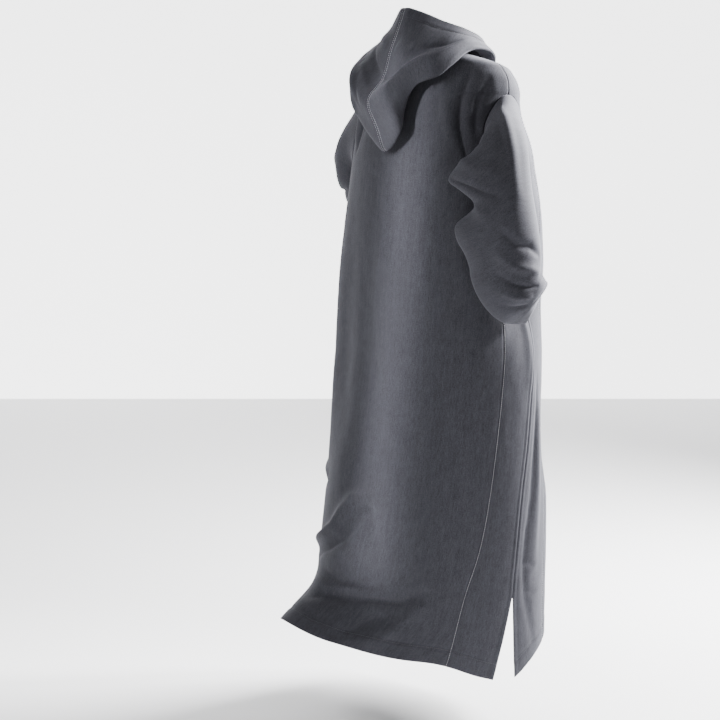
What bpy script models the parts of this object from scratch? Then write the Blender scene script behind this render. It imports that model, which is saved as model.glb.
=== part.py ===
"""A hooded djellaba robe, hollow, in the pose in which it is worn.

Frame: origin at the centre of the neck opening, where the shoulders carry the robe.
+Z is up, the wearer faces -Y, and the wearer's right hand is on the -X side.

Every body panel is cut from one surface, body_point(turn, level). turn runs once round
the body: 0 is the centre of the back, 0.25 the wearer's right side, 0.5 the centre of the
front, and a negative turn is on the wearer's left. level is the nominal height.
"""
from collections import namedtuple
import math

import bpy
import bmesh
import numpy as np

# ---------------------------------------------------------------- driving sizes, metres
WALL = 0.0022            # thickness of the brushed cloth
SEAM_GAP = 0.0005        # between two panels along a seam
HEM_LEVEL = -1.385
SLIT_LEVEL = -1.190      # top of the two side slits
SLIT_OPENING = 0.018     # turns that each slit edge has moved away at the hem
NECK_DIP = 0.045         # how much lower the neckline is in front
NECK_POINT = 0.035       # further depth of the plain pointed neck opening
NECK_POINT_WIDTH = 0.080 # in turns
NECK_DIP_POWER = 1.5     # keeps the back of the neckline level
NECK_DIP_END = -0.20     # the level where the drop has faded out
NECK_GAP = 0.0016        # the hood's foot stands this far inside the neck edge
STAND = 0.014            # height of the hood's foot above the neckline
CLEAR_OF_BODY = 0.007    # least distance from the body surface to the sleeves
HOOD_CLEAR = 0.012       # least distance from the body surface to the hood's under layer
FOLD_RADIUS = 0.004      # half the thickness of the hood's lower fold
SEAM_STRIP = 0.005       # narrow strip beside the hood's centre seam

PANEL_COLUMNS = 12
GORE_COLUMNS = 4
EDGE_SHARE = 0.03        # width of the narrow first and last columns of a panel
SLEEVE_COLUMNS = 20
SLEEVE_ROWS = 19
HOOD_COLUMNS = 12

# ---------------------------------------------------------------- tables
Ring = namedtuple("Ring", "level right left back front")
BODY_RINGS = (
    Ring(0.000, 0.090, 0.090, 0.085, 0.085),
    Ring(-0.018, 0.165, 0.146, 0.098, 0.095),
    Ring(-0.038, 0.188, 0.178, 0.106, 0.105),
    Ring(-0.070, 0.200, 0.194, 0.116, 0.118),
    Ring(-0.110, 0.198, 0.200, 0.126, 0.130),
    Ring(-0.160, 0.203, 0.208, 0.136, 0.142),
    Ring(-0.220, 0.224, 0.220, 0.145, 0.152),
    Ring(-0.290, 0.244, 0.232, 0.152, 0.162),
    Ring(-0.370, 0.260, 0.243, 0.158, 0.172),
    Ring(-0.470, 0.270, 0.252, 0.166, 0.178),
    Ring(-0.570, 0.266, 0.258, 0.175, 0.165),
    Ring(-0.680, 0.267, 0.261, 0.184, 0.152),
    Ring(-0.800, 0.268, 0.261, 0.192, 0.130),
    Ring(-0.900, 0.269, 0.260, 0.198, 0.148),
    Ring(-1.000, 0.270, 0.258, 0.204, 0.194),
    Ring(-1.100, 0.270, 0.258, 0.211, 0.202),
    Ring(-1.250, 0.269, 0.257, 0.224, 0.200),
    Ring(-1.385, 0.268, 0.256, 0.240, 0.198),
)

# The stride lifts the hem: most over the trailing left heel, a little in front.
HemRise = namedtuple("HemRise", "turn rise")
HEM_RISES = (
    HemRise(0.000, 0.100),
    HemRise(0.050, 0.066),
    HemRise(0.110, 0.045),
    HemRise(0.160, 0.014),
    HemRise(0.205, 0.000),
    HemRise(0.250, 0.036),
    HemRise(0.300, 0.066),
    HemRise(0.370, 0.085),
    HemRise(0.500, 0.100),
    HemRise(0.640, 0.080),
    HemRise(0.750, 0.065),
    HemRise(0.860, 0.098),
    HemRise(0.940, 0.137),
)
HEM_RISE_START = -0.800
HEM_RISE_POWER = 1.5

# The trailing left leg pushes the back of the skirt outwards.
Push = namedtuple("Push", "level reach")
LEG_PUSH = (
    Push(-0.680, 0.000),
    Push(-0.850, 0.020),
    Push(-1.000, 0.042),
    Push(-1.100, 0.050),
    Push(-1.200, 0.060),
    Push(-1.255, 0.064),
    Push(-1.300, 0.084),
    Push(-1.340, 0.125),
    Push(-1.385, 0.172),
)
LEG_TURN = -0.065
LEG_WIDTH = 0.105
LEG_SIDEWAYS = 0.12      # share of the push that goes to the wearer's left

# Each arm presses the body cloth in.
Dent = namedtuple("Dent", "turn level width height depth")
DENTS = (
    Dent(0.225, -0.47, 0.080, 0.13, 0.062),
    Dent(-0.255, -0.30, 0.080, 0.14, 0.010),
)

# The largest folds run down the robe from (turn, level) to (low_turn, low_level). width is
# in turns, and height is how far out (+) or in (-) the cloth stands at its middle.
LongFold = namedtuple("LongFold", "turn level low_turn low_level width height")
LONG_FOLDS = (
    LongFold(-0.030, -0.20, 0.048, -1.30, 0.030, 0.011),
    LongFold(0.062, -0.30, 0.088, -1.20, 0.028, -0.007),
    LongFold(-0.100, -0.30, -0.085, -0.98, 0.024, -0.006),
    LongFold(0.402, -0.75, 0.366, -1.60, 0.020, -0.009),
    LongFold(0.442, -0.85, 0.424, -1.60, 0.022, 0.009),
    LongFold(0.498, -0.90, 0.526, -1.60, 0.020, -0.009),
    LongFold(0.566, -0.82, 0.604, -1.60, 0.024, 0.008),
    LongFold(0.640, -0.65, 0.657, -1.60, 0.020, -0.008),
)

# Seams that run down the skirt on each side, as distances in turns from the centre back.
Seam = namedtuple("Seam", "level back_gore side front_gore")
SEAMS_RIGHT = (
    Seam(-0.262, 0.186, 0.250, 0.310),
    Seam(-0.450, 0.186, 0.251, 0.311),
    Seam(-0.620, 0.183, 0.254, 0.310),
    Seam(-0.740, 0.176, 0.240, 0.305),
    Seam(-0.870, 0.167, 0.229, 0.300),
    Seam(-0.980, 0.158, 0.217, 0.296),
    Seam(-1.100, 0.145, 0.209, 0.293),
    Seam(-1.200, 0.129, 0.204, 0.292),
    Seam(-1.385, 0.112, 0.195, 0.296),
)
SEAMS_LEFT = (
    Seam(-0.262, 0.186, 0.250, 0.310),
    Seam(-0.620, 0.184, 0.250, 0.312),
    Seam(-1.000, 0.170, 0.246, 0.312),
    Seam(-1.385, 0.150, 0.238, 0.312),
)

# Round the armhole: from the shoulder seam down the back, under the arm, up the front.
Armhole = namedtuple("Armhole", "turn level")
ARMHOLE = (
    Armhole(0.229, -0.090),
    Armhole(0.206, -0.098),
    Armhole(0.188, -0.120),
    Armhole(0.171, -0.148),
    Armhole(0.160, -0.182),
    Armhole(0.158, -0.215),
    Armhole(0.167, -0.243),
    Armhole(0.186, -0.262),
    Armhole(0.216, -0.273),
    Armhole(0.250, -0.277),
    Armhole(0.284, -0.273),
    Armhole(0.310, -0.262),
    Armhole(0.324, -0.236),
    Armhole(0.328, -0.198),
    Armhole(0.320, -0.158),
    Armhole(0.297, -0.120),
    Armhole(0.258, -0.096),
)
UNDER_START = 0.4        # where round the armhole the back gore seam meets it
UNDER_END = 0.6          # the same for the front gore seam

# Cross cuts of a sleeve, for the wearer's right arm. heading and dip give the way the
# sleeve runs at the cut, in degrees; the left sleeve is mirrored at the end.
Cut = namedtuple("Cut", "x y z heading dip outer inner tall")
RIGHT_SLEEVE = (
    Cut(-0.247, 0.108, -0.214, 140, 40, 0.058, 0.065, 0.050),
    Cut(-0.262, 0.127, -0.274, 120, 82, 0.064, 0.115, 0.052),
    Cut(-0.272, 0.129, -0.330, 298, 86, 0.066, 0.058, 0.058),
    Cut(-0.275, 0.124, -0.372, 295, 76, 0.068, 0.110, 0.060),
    Cut(-0.277, 0.112, -0.442, 288, 66, 0.068, 0.092, 0.058),
    Cut(-0.288, 0.100, -0.498, 255, 62, 0.060, 0.092, 0.054),
    Cut(-0.300, 0.070, -0.532, 224, 44, 0.052, 0.080, 0.050),
    Cut(-0.300, 0.046, -0.540, 214, 26, 0.042, 0.053, 0.040),
)
LEFT_SLEEVE = (
    Cut(-0.238, -0.008, -0.205, 190, 36, 0.046, 0.098, 0.064),
    Cut(-0.256, -0.048, -0.280, 250, 66, 0.054, 0.058, 0.074),
    Cut(-0.260, -0.106, -0.330, 280, 64, 0.062, 0.054, 0.078),
    Cut(-0.250, -0.148, -0.376, 296, 54, 0.066, 0.056, 0.078),
    Cut(-0.218, -0.184, -0.420, 310, 42, 0.064, 0.052, 0.074),
    Cut(-0.174, -0.212, -0.462, 318, 36, 0.056, 0.046, 0.064),
    Cut(-0.132, -0.232, -0.495, 322, 32, 0.050, 0.044, 0.056),
)
RIGHT_SLEEVE_ROLL = 45.0
LEFT_SLEEVE_ROLL = -4.0
SLEEVE_TOP_GAP = 0.0010
SLEEVE_UNDER_GAP = 0.0016
SLEEVE_UNDER_LIFT = 0.0026
CLEARANCE_RISE = 0.25    # how fast the sleeve leaves the body below the armhole
EASING = 0.5             # evens out the sleeve's first rows, where it turns under the arm
EASED_ROWS = 5
EASING_PASSES = 5

# Curves of the hood. along runs from the throat (0) to the centre back (1) on the face
# edge and the lower fold, from the peak (0) to the face edge (1) on the top seam, and
# from the neck (0) to the peak (1) on the back seam.
Spot = namedtuple("Spot", "along x y z")
HOOD_TOP_SEAM = (
    Spot(0.00, 0.020, 0.166, -0.220),
    Spot(0.20, 0.027, 0.196, -0.147),
    Spot(0.32, 0.032, 0.208, -0.110),
    Spot(0.40, 0.027, 0.202, -0.086),
    Spot(0.50, 0.018, 0.176, -0.066),
    Spot(0.59, 0.014, 0.163, -0.040),
    Spot(0.71, 0.008, 0.160, 0.000),
    Spot(0.84, 0.002, 0.146, 0.040),
    Spot(1.00, 0.000, 0.126, 0.087),
)
HOOD_BACK_SEAM = (
    Spot(0.00, 0.000, 0.088, 0.020),
    Spot(0.25, 0.008, 0.124, -0.040),
    Spot(0.50, 0.016, 0.150, -0.100),
    Spot(0.75, 0.020, 0.158, -0.165),
    Spot(1.00, 0.020, 0.166, -0.220),
)
FACE_EDGE_RIGHT = (
    Spot(0.00, -0.022, -0.104, -0.078),
    Spot(0.20, -0.068, -0.078, -0.034),
    Spot(0.40, -0.106, -0.020, 0.015),
    Spot(0.60, -0.104, 0.042, 0.042),
    Spot(0.78, -0.075, 0.089, 0.060),
    Spot(0.92, -0.030, 0.121, 0.082),
    Spot(1.00, 0.000, 0.126, 0.087),
)
FACE_EDGE_LEFT = (
    Spot(0.00, 0.022, -0.104, -0.078),
    Spot(0.20, 0.068, -0.078, -0.034),
    Spot(0.40, 0.104, -0.020, 0.015),
    Spot(0.60, 0.096, 0.030, 0.040),
    Spot(0.78, 0.062, 0.074, 0.058),
    Spot(0.92, 0.028, 0.110, 0.080),
    Spot(1.00, 0.000, 0.126, 0.087),
)
FOLD_RIGHT = (
    Spot(0.00, -0.026, -0.116, -0.098),
    Spot(0.18, -0.082, -0.088, -0.052),
    Spot(0.34, -0.127, -0.020, -0.004),
    Spot(0.44, -0.124, 0.032, -0.002),
    Spot(0.54, -0.114, 0.088, -0.028),
    Spot(0.62, -0.098, 0.121, -0.053),
    Spot(0.72, -0.048, 0.152, -0.080),
    Spot(0.80, -0.035, 0.164, -0.110),
    Spot(0.88, -0.029, 0.173, -0.150),
    Spot(0.95, -0.022, 0.177, -0.190),
    Spot(1.00, 0.020, 0.166, -0.220),
)
FOLD_LEFT = (
    Spot(0.00, 0.026, -0.116, -0.098),
    Spot(0.18, 0.082, -0.088, -0.052),
    Spot(0.34, 0.130, -0.022, 0.000),
    Spot(0.44, 0.130, 0.040, -0.008),
    Spot(0.54, 0.128, 0.096, -0.044),
    Spot(0.64, 0.124, 0.142, -0.084),
    Spot(0.74, 0.112, 0.172, -0.115),
    Spot(0.84, 0.090, 0.172, -0.152),
    Spot(0.93, 0.054, 0.169, -0.196),
    Spot(1.00, 0.020, 0.166, -0.220),
)
HOOD_THROAT_TURN = 0.455  # where the front end of each half meets the neckline

# Rows of one hood half, from the neck seam over the lower fold to the face edge.
# share is how far the row is along its layer, puff how far it stands off outwards there.
HoodRow = namedtuple("HoodRow", "layer share puff")
HOOD_ROWS = (
    HoodRow("under", 0.00, 0.000),
    HoodRow("under", 0.25, 0.000),
    HoodRow("under", 0.50, 0.000),
    HoodRow("under", 0.72, 0.000),
    HoodRow("under", 0.88, 0.000),
    HoodRow("under", 1.00, 0.000),
    HoodRow("fold", 0.00, 0.000),
    HoodRow("outer", 0.00, 0.000),
    HoodRow("outer", 0.12, 0.008),
    HoodRow("outer", 0.30, 0.013),
    HoodRow("outer", 0.50, 0.013),
    HoodRow("outer", 0.70, 0.009),
    HoodRow("outer", 0.88, 0.003),
    HoodRow("outer", 1.00, 0.000),
)
FULL_PUFF_LENGTH = 0.12  # layers shorter than this puff out less
PUFF_END_POWER = 6       # the puff keeps its size until close to the centre seam
COLUMN_POWER = 0.85      # crowds the hood's columns a little towards the centre seam
SEAM_PULL_POWER = 2.5    # how late along a layer the centre seam's curve takes hold
OUTER_CHECK_SHARE = 0.3  # where on each layer the way across the lower fold is taken
UNDER_CHECK_SHARE = 0.7
FOLD_LENGTH_SHARE = 0.3  # a short hood layer folds over at most this part of its length

Finish = namedtuple("Finish", "color roughness")
CLOTH = Finish((0.066, 0.066, 0.078, 1.0), 0.90)


# ---------------------------------------------------------------- curves
def column(rows, name):
    return np.array([getattr(row, name) for row in rows])


def curve_through(xs, ys, x, period=None):
    """Smooth cubic through the points (xs, ys), read at x; xs increase."""
    xs = np.asarray(xs, float)
    ys = np.asarray(ys, float)
    x = np.asarray(x, float)
    if period:
        xs = np.concatenate([xs[-2:] - period, xs, xs[:2] + period])
        ys = np.concatenate([ys[-2:], ys, ys[:2]])
        x = np.mod(x, period)
    slopes = np.gradient(ys, xs)
    k = np.clip(np.searchsorted(xs, x, side="right") - 1, 0, len(xs) - 2)
    step = xs[k + 1] - xs[k]
    u = np.clip((x - xs[k]) / step, 0.0, 1.0)
    blend = u * u * (3.0 - 2.0 * u)
    ease_out = u * (1.0 - u) ** 2 * step * slopes[k]
    ease_in = u * u * (u - 1.0) * step * slopes[k + 1]
    return ys[k] * (1.0 - blend) + ys[k + 1] * blend + ease_out + ease_in


def by_level(rows, name, level):
    """A table's column read at a level; levels fall down the table."""
    return curve_through(-column(rows, "level"), column(rows, name), -np.asarray(level, float))


def space_curve(spots, along):
    """Points of a table of spots, read at along."""
    xs = column(spots, "along")
    return np.stack([curve_through(xs, column(spots, axis), along) for axis in "xyz"], -1)


def smoothstep(low, high, x):
    u = np.clip((np.asarray(x, float) - low) / (high - low), 0.0, 1.0)
    return u * u * (3.0 - 2.0 * u)


def wrapped(turn):
    """The same turn, between -0.5 and 0.5."""
    return (np.asarray(turn, float) + 0.5) % 1.0 - 0.5


def unit(vectors):
    return vectors / np.linalg.norm(vectors, axis=-1, keepdims=True)


# ---------------------------------------------------------------- the body surface
def neck_dip(turn, level):
    """The neckline's drop in front, with a point at the throat; it fades down the chest."""
    frontness = (1.0 - np.cos(2.0 * np.pi * turn)) / 2.0
    point = np.exp(-(wrapped(turn - 0.5) / NECK_POINT_WIDTH) ** 2)
    drop = NECK_DIP * frontness ** NECK_DIP_POWER + NECK_POINT * point
    return -drop * smoothstep(NECK_DIP_END, 0.0, level)


def body_point(turn, level):
    """Point of the body surface; the arrays turn and level have one shape."""
    turn, level = np.broadcast_arrays(np.asarray(turn, float), np.asarray(level, float))
    sine = np.sin(2.0 * np.pi * turn)
    cosine = np.cos(2.0 * np.pi * turn)
    right = by_level(BODY_RINGS, "right", level)
    left = by_level(BODY_RINGS, "left", level)
    back = by_level(BODY_RINGS, "back", level)
    front = by_level(BODY_RINGS, "front", level)
    x = -np.where(sine >= 0.0, right, left) * sine
    y = np.where(cosine >= 0.0, back, front) * cosine

    for dent in DENTS:
        across = wrapped(turn - dent.turn) / dent.width
        along = (level - dent.level) / dent.height
        depth = dent.depth * np.exp(-across ** 2 - along ** 2)
        x = x + depth * sine
        y = y - depth * cosine

    for fold in LONG_FOLDS:
        along = (level - fold.level) / (fold.low_level - fold.level)
        middle = fold.turn + (fold.low_turn - fold.turn) * along
        out = fold.height * np.exp(-(wrapped(turn - middle) / fold.width) ** 2)
        out = out * np.sin(np.pi * np.clip(along, 0.0, 1.0))
        x = x - out * sine
        y = y + out * cosine

    below = level < LEG_PUSH[0].level
    reach = np.where(below, by_level(LEG_PUSH, "reach", level), 0.0)
    reach = reach * np.exp(-(wrapped(turn - LEG_TURN) / LEG_WIDTH) ** 2)
    x = x + LEG_SIDEWAYS * reach
    y = y + reach

    rise = curve_through(column(HEM_RISES, "turn"), column(HEM_RISES, "rise"), turn, period=1.0)
    share = np.clip((HEM_RISE_START - level) / (HEM_RISE_START - HEM_LEVEL), 0.0, 1.0)
    z = level + rise * share ** HEM_RISE_POWER + neck_dip(turn, level)
    return np.stack([x, y, z], -1)


def turn_of_gap(turn, level, distance):
    """How many turns a short distance round the body is."""
    step = 0.0005
    ahead = body_point(turn + step, level)
    behind = body_point(turn - step, level)
    return distance * 2.0 * step / np.linalg.norm(ahead - behind, axis=-1)


def body_normals(turn, level):
    """Outward normals of the body surface."""
    step = 0.002
    round_way = body_point(turn + step, level) - body_point(turn - step, level)
    down_way = body_point(turn, level - step) - body_point(turn, level + step)
    return unit(np.cross(down_way, round_way))


CLEAR_TURNS, CLEAR_LEVELS = np.meshgrid(np.linspace(0.0, 1.0, 145)[:-1],
                                        np.linspace(-0.002, -0.74, 124), indexing="ij")
CLEAR_PASSES = 3
CLEAR_POINTS = body_point(CLEAR_TURNS, CLEAR_LEVELS).reshape(-1, 3)
CLEAR_NORMALS = body_normals(CLEAR_TURNS, CLEAR_LEVELS).reshape(-1, 3)


def clear_of_body(points, distance):
    """Moves points that lie closer to the body surface than distance straight out of it."""
    moved = points.reshape(-1, 3).copy()
    wanted = np.broadcast_to(distance, points.shape[:-1]).reshape(-1)
    for _ in range(CLEAR_PASSES):
        for i in range(len(moved)):
            nearest = np.argmin(np.sum((CLEAR_POINTS - moved[i]) ** 2, axis=1))
            normal = CLEAR_NORMALS[nearest]
            height = normal @ (moved[i] - CLEAR_POINTS[nearest])
            moved[i] += normal * max(0.0, wanted[i] - height)
    return moved.reshape(points.shape)


# ---------------------------------------------------------------- edges of the panels
def armhole_rows(start, end):
    """The armhole's turn and level at the sleeve's columns from start to end round it."""
    first = round(start * SLEEVE_COLUMNS)
    last = round(end * SLEEVE_COLUMNS)
    around = np.linspace(first, last, abs(last - first) + 1) / SLEEVE_COLUMNS
    place = np.arange(len(ARMHOLE)) / len(ARMHOLE)
    turn = curve_through(place, column(ARMHOLE, "turn"), around, period=1.0)
    level = curve_through(place, column(ARMHOLE, "level"), around, period=1.0)
    return turn, level


def panel_edge(levels, seams, armhole, gore_column):
    """Side edge of the back or front panel: shoulder seam, armhole, gore seam."""
    armhole_turn, armhole_level = armhole
    on_armhole = np.interp(-levels, -armhole_level, armhole_turn)
    on_gore = by_level(seams, gore_column, levels)
    return np.where(levels < armhole_level[-1], on_gore, on_armhole)


SHOULDER_LEVELS = (0.0, -0.009, -0.018, -0.030, -0.046, -0.068)
SKIRT_LEVELS = (-0.31, -0.37, -0.43, -0.49, -0.55, -0.61, -0.68, -0.76, -0.84, -0.92, -1.00,
                -1.07, -1.13, SLIT_LEVEL, -1.235, -1.28, -1.315, -1.35, HEM_LEVEL)


def column_shares(columns):
    """Places of the columns across a panel; the narrow end ones keep the edges square."""
    return np.concatenate([[0.0], np.linspace(EDGE_SHARE, 1.0 - EDGE_SHARE, columns - 1), [1.0]])


def panel_grid(left_edge, right_edge, levels, columns):
    """Points between two edges, given in turns at each level, half a gap inside them."""
    levels = np.array(levels)
    low = left_edge + turn_of_gap(left_edge, levels, SEAM_GAP / 2.0)
    high = right_edge - turn_of_gap(right_edge, levels, SEAM_GAP / 2.0)
    share = column_shares(columns)
    turns = low[:, None] + (high - low)[:, None] * share[None, :]
    return body_point(turns, np.repeat(levels[:, None], columns + 1, axis=1))


def back_grid():
    armhole = armhole_rows(0.0, UNDER_START)
    levels = np.concatenate([SHOULDER_LEVELS, armhole[1], SKIRT_LEVELS])
    right = panel_edge(levels, SEAMS_RIGHT, armhole, "back_gore")
    left = panel_edge(levels, SEAMS_LEFT, armhole, "back_gore")
    return panel_grid(-left, right, levels, PANEL_COLUMNS)


def front_grid():
    armhole = armhole_rows(1.0, UNDER_END)
    levels = np.concatenate([SHOULDER_LEVELS, armhole[1], SKIRT_LEVELS])
    right = panel_edge(levels, SEAMS_RIGHT, armhole, "front_gore")
    left = panel_edge(levels, SEAMS_LEFT, armhole, "front_gore")
    return panel_grid(right, 1.0 - left, levels, PANEL_COLUMNS)


def gore_grid(seams, inner_column, side_sign, mirrored):
    """A side gore: its top edge follows the armhole, its side edge opens as the slit."""
    edge_turn, edge_level = armhole_rows(UNDER_START, UNDER_END)
    inner_top = edge_level[0] if side_sign < 0.0 else edge_level[-1]
    levels = np.concatenate([[inner_top], SKIRT_LEVELS])
    inner = by_level(seams, inner_column, levels)
    inner[0] = edge_turn[0] if side_sign < 0.0 else edge_turn[-1]
    side = by_level(seams, "side", levels)
    slit_share = np.clip((SLIT_LEVEL - levels) / (SLIT_LEVEL - HEM_LEVEL), 0.0, 1.0)
    side = side + side_sign * SLIT_OPENING * slit_share
    inner = inner - side_sign * turn_of_gap(inner, levels, SEAM_GAP / 2.0)
    side = side + side_sign * turn_of_gap(side, levels, SEAM_GAP / 2.0)

    share = column_shares(GORE_COLUMNS)
    turns = inner[:, None] + (side - inner)[:, None] * share[None, :]
    top_weight = np.zeros(len(levels))
    top_weight[0:2] = (1.0, 0.5)
    top = np.interp(turns[0], edge_turn, edge_level)
    lowered = levels[:, None] + top_weight[:, None] * (top - inner_top)[None, :]
    return body_point(-turns if mirrored else turns, lowered)


# ---------------------------------------------------------------- sleeves
def direction(heading, dip):
    """Unit vector at a compass heading from +X, dipping below the level, in degrees."""
    h = math.radians(heading)
    d = math.radians(dip)
    return np.array([math.cos(d) * math.cos(h), math.cos(d) * math.sin(h), -math.sin(d)])


def turned(vector, old, new):
    """The vector carried from one facing to the next with no twist."""
    axis = np.cross(old, new)
    size = np.linalg.norm(axis)
    if size < 1e-9:
        return vector
    axis = axis / size
    angle = math.atan2(size, float(old @ new))
    along_axis = axis * (axis @ vector) * (1.0 - math.cos(angle))
    return vector * math.cos(angle) + np.cross(axis, vector) * math.sin(angle) + along_axis


def mirror_x(points, mirrored):
    return points * np.array([-1.0, 1.0, 1.0]) if mirrored else points


def sleeve_rings(cuts, roll, mirrored):
    """The armhole and each cut as a ring of points, in right-arm coordinates."""
    turn, level = armhole_rows(0.0, 1.0 - 1.0 / SLEEVE_COLUMNS)
    turn = -turn if mirrored else turn
    around = np.arange(SLEEVE_COLUMNS) / SLEEVE_COLUMNS
    loop = mirror_x(body_point(turn, level), mirrored)
    outward = mirror_x(body_normals(turn, level), mirrored)
    underness = np.sqrt((1.0 - np.cos(2.0 * np.pi * around)) / 2.0)
    gap = SLEEVE_TOP_GAP + (SLEEVE_UNDER_GAP - SLEEVE_TOP_GAP) * underness
    lift = SLEEVE_UNDER_LIFT * underness
    to_middle = unit(loop.mean(axis=0) - loop)
    rings = [loop + to_middle * gap[:, None] + outward * lift[:, None]]

    facing = np.array([-1.0, 0.0, 0.0])
    side = np.array([0.0, -math.sin(math.radians(roll)), math.cos(math.radians(roll))])
    angle = 2.0 * np.pi * around + math.radians(roll)
    for cut in cuts:
        new_facing = direction(cut.heading, cut.dip)
        side = turned(side, facing, new_facing)
        facing = new_facing
        tall = np.cross(facing, side)
        wide = np.where(np.cos(angle) >= 0.0, cut.outer, cut.inner) * np.cos(angle)
        high = cut.tall * np.sin(angle)
        centre = np.array([cut.x, cut.y, cut.z])
        rings.append(centre + wide[:, None] * side + high[:, None] * tall)
    return np.array(rings)


def sleeve_grid(cuts, roll, mirrored):
    """Rows run down the sleeve; columns go round it, without the closing column."""
    rings = sleeve_rings(cuts, roll, mirrored)
    steps = np.linalg.norm(np.diff(rings.mean(axis=1), axis=0), axis=1)
    run = np.concatenate([[0.0], np.cumsum(steps)]) / steps.sum()
    along = np.linspace(0.0, 1.0, SLEEVE_ROWS + 1)
    grid = np.empty((len(along), SLEEVE_COLUMNS, 3))
    for j in range(SLEEVE_COLUMNS):
        for axis in range(3):
            grid[:, j, axis] = curve_through(run, rings[:, j, axis], along)
    grid = mirror_x(grid, mirrored)
    for _ in range(EASING_PASSES):
        from_armhole = np.linalg.norm(grid - grid[0], axis=-1)
        distance = np.minimum(CLEAR_OF_BODY, CLEARANCE_RISE * from_armhole)
        grid[1:] = clear_of_body(grid[1:], distance[1:])
        round_way = np.roll(grid, 1, axis=1) + np.roll(grid, -1, axis=1)
        down_way = grid[:EASED_ROWS] + grid[2:EASED_ROWS + 2]
        eased = (round_way[1:EASED_ROWS + 1] + down_way) / 4.0
        share = EASING * np.linspace(1.0, 0.0, EASED_ROWS)[:, None, None]
        grid[1:EASED_ROWS + 1] += share * (eased - grid[1:EASED_ROWS + 1])
    return grid


# ---------------------------------------------------------------- hood
def hood_layer(start_edge, end_edge, seam, along, share):
    """Points between two edges, bent to follow the centre seam where along nears 1."""
    straight = start_edge + (end_edge - start_edge) * share
    seam_points = space_curve(seam, np.array([0.0, share, 1.0]))
    straight_seam = seam_points[0] + (seam_points[2] - seam_points[0]) * share
    return straight + (seam_points[1] - straight_seam) * (along ** SEAM_PULL_POWER)[:, None]


def hood_grid(fold_spots, face_spots, side_sign):
    """One half of the hood: columns from the throat to the centre seam, rows as HOOD_ROWS."""
    along = np.linspace(0.0, 1.0, HOOD_COLUMNS + 1) ** COLUMN_POWER
    fold = clear_of_body(space_curve(fold_spots, along), HOOD_CLEAR + FOLD_RADIUS)
    face = clear_of_body(space_curve(face_spots, along), HOOD_CLEAR + 3.0 * FOLD_RADIUS)
    neck = body_point(side_sign * HOOD_THROAT_TURN * (1.0 - along), np.zeros_like(along))
    foot = neck - unit(neck * np.array([1.0, 1.0, 0.0])) * (WALL / 2.0 + NECK_GAP)
    stand = foot + np.array([0.0, 0.0, STAND])

    length = np.linalg.norm(face - fold, axis=1)
    radius = np.minimum(FOLD_RADIUS, FOLD_LENGTH_SHARE * length)[:, None]
    outer = hood_layer(fold, face, HOOD_TOP_SEAM, along, OUTER_CHECK_SHARE)
    under = hood_layer(stand, fold, HOOD_BACK_SEAM, along, UNDER_CHECK_SHARE)
    into_hood = unit((outer + under) / 2.0 - fold)
    across = outer - under
    across = unit(across - into_hood * np.sum(across * into_hood, axis=1)[:, None])
    under_edge = fold + (into_hood - across) * radius
    outer_edge = fold + (into_hood + across) * radius
    puff_scale = np.minimum(length / FULL_PUFF_LENGTH, 1.0) * (1.0 - along ** PUFF_END_POWER)

    rows = [foot]
    for row in HOOD_ROWS:
        if row.layer == "under":
            points = hood_layer(stand, under_edge, HOOD_BACK_SEAM, along, row.share)
            points = clear_of_body(points, HOOD_CLEAR)
        elif row.layer == "fold":
            points = fold
        else:
            points = hood_layer(outer_edge, face, HOOD_TOP_SEAM, along, row.share)
            points = points + across * (row.puff * puff_scale)[:, None]
            points = clear_of_body(points, HOOD_CLEAR + 2.0 * FOLD_RADIUS)
        rows.append(points)
    return np.array(rows)


def join_at_centre(right, left):
    """Makes the two hood halves run straight across their centre seam, a gap apart."""
    across = unit(left[:, -2] - right[:, -2])
    seam = (left[:, -1] + right[:, -1]) / 2.0
    halves = []
    for half, sign in ((right, -1.0), (left, 1.0)):
        strip = seam + sign * across * SEAM_STRIP
        edge = seam + sign * across * (SEAM_GAP / 2.0)
        halves.append(np.concatenate([half[:, :-1], strip[:, None], edge[:, None]], axis=1))
    return halves


# ---------------------------------------------------------------- solids
def cloth_material(name):
    material = bpy.data.materials.new(name)
    material.use_nodes = True
    shader = material.node_tree.nodes["Principled BSDF"]
    shader.inputs["Base Color"].default_value = CLOTH.color
    shader.inputs["Roughness"].default_value = CLOTH.roughness
    shader.inputs["Metallic"].default_value = 0.0
    return material


def cloth_panel(name, grid, collection, closed=False):
    """A lofted sheet, given its wall by Solidify half to each side."""
    rows, columns = grid.shape[:2]
    mesh = bmesh.new()
    verts = [[mesh.verts.new(grid[i, j]) for j in range(columns)] for i in range(rows)]
    spans = columns if closed else columns - 1
    for i in range(rows - 1):
        for j in range(spans):
            k = (j + 1) % columns
            mesh.faces.new((verts[i][j], verts[i][k], verts[i + 1][k], verts[i + 1][j]))
    bmesh.ops.recalc_face_normals(mesh, faces=mesh.faces)
    data = bpy.data.meshes.new(name)
    mesh.to_mesh(data)
    mesh.free()
    data.shade_smooth()
    data.materials.append(cloth_material(name))

    piece = bpy.data.objects.new(name, data)
    wall = piece.modifiers.new("Wall", "SOLIDIFY")
    wall.thickness = WALL
    wall.offset = 0.0
    collection.objects.link(piece)
    return piece


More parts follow.
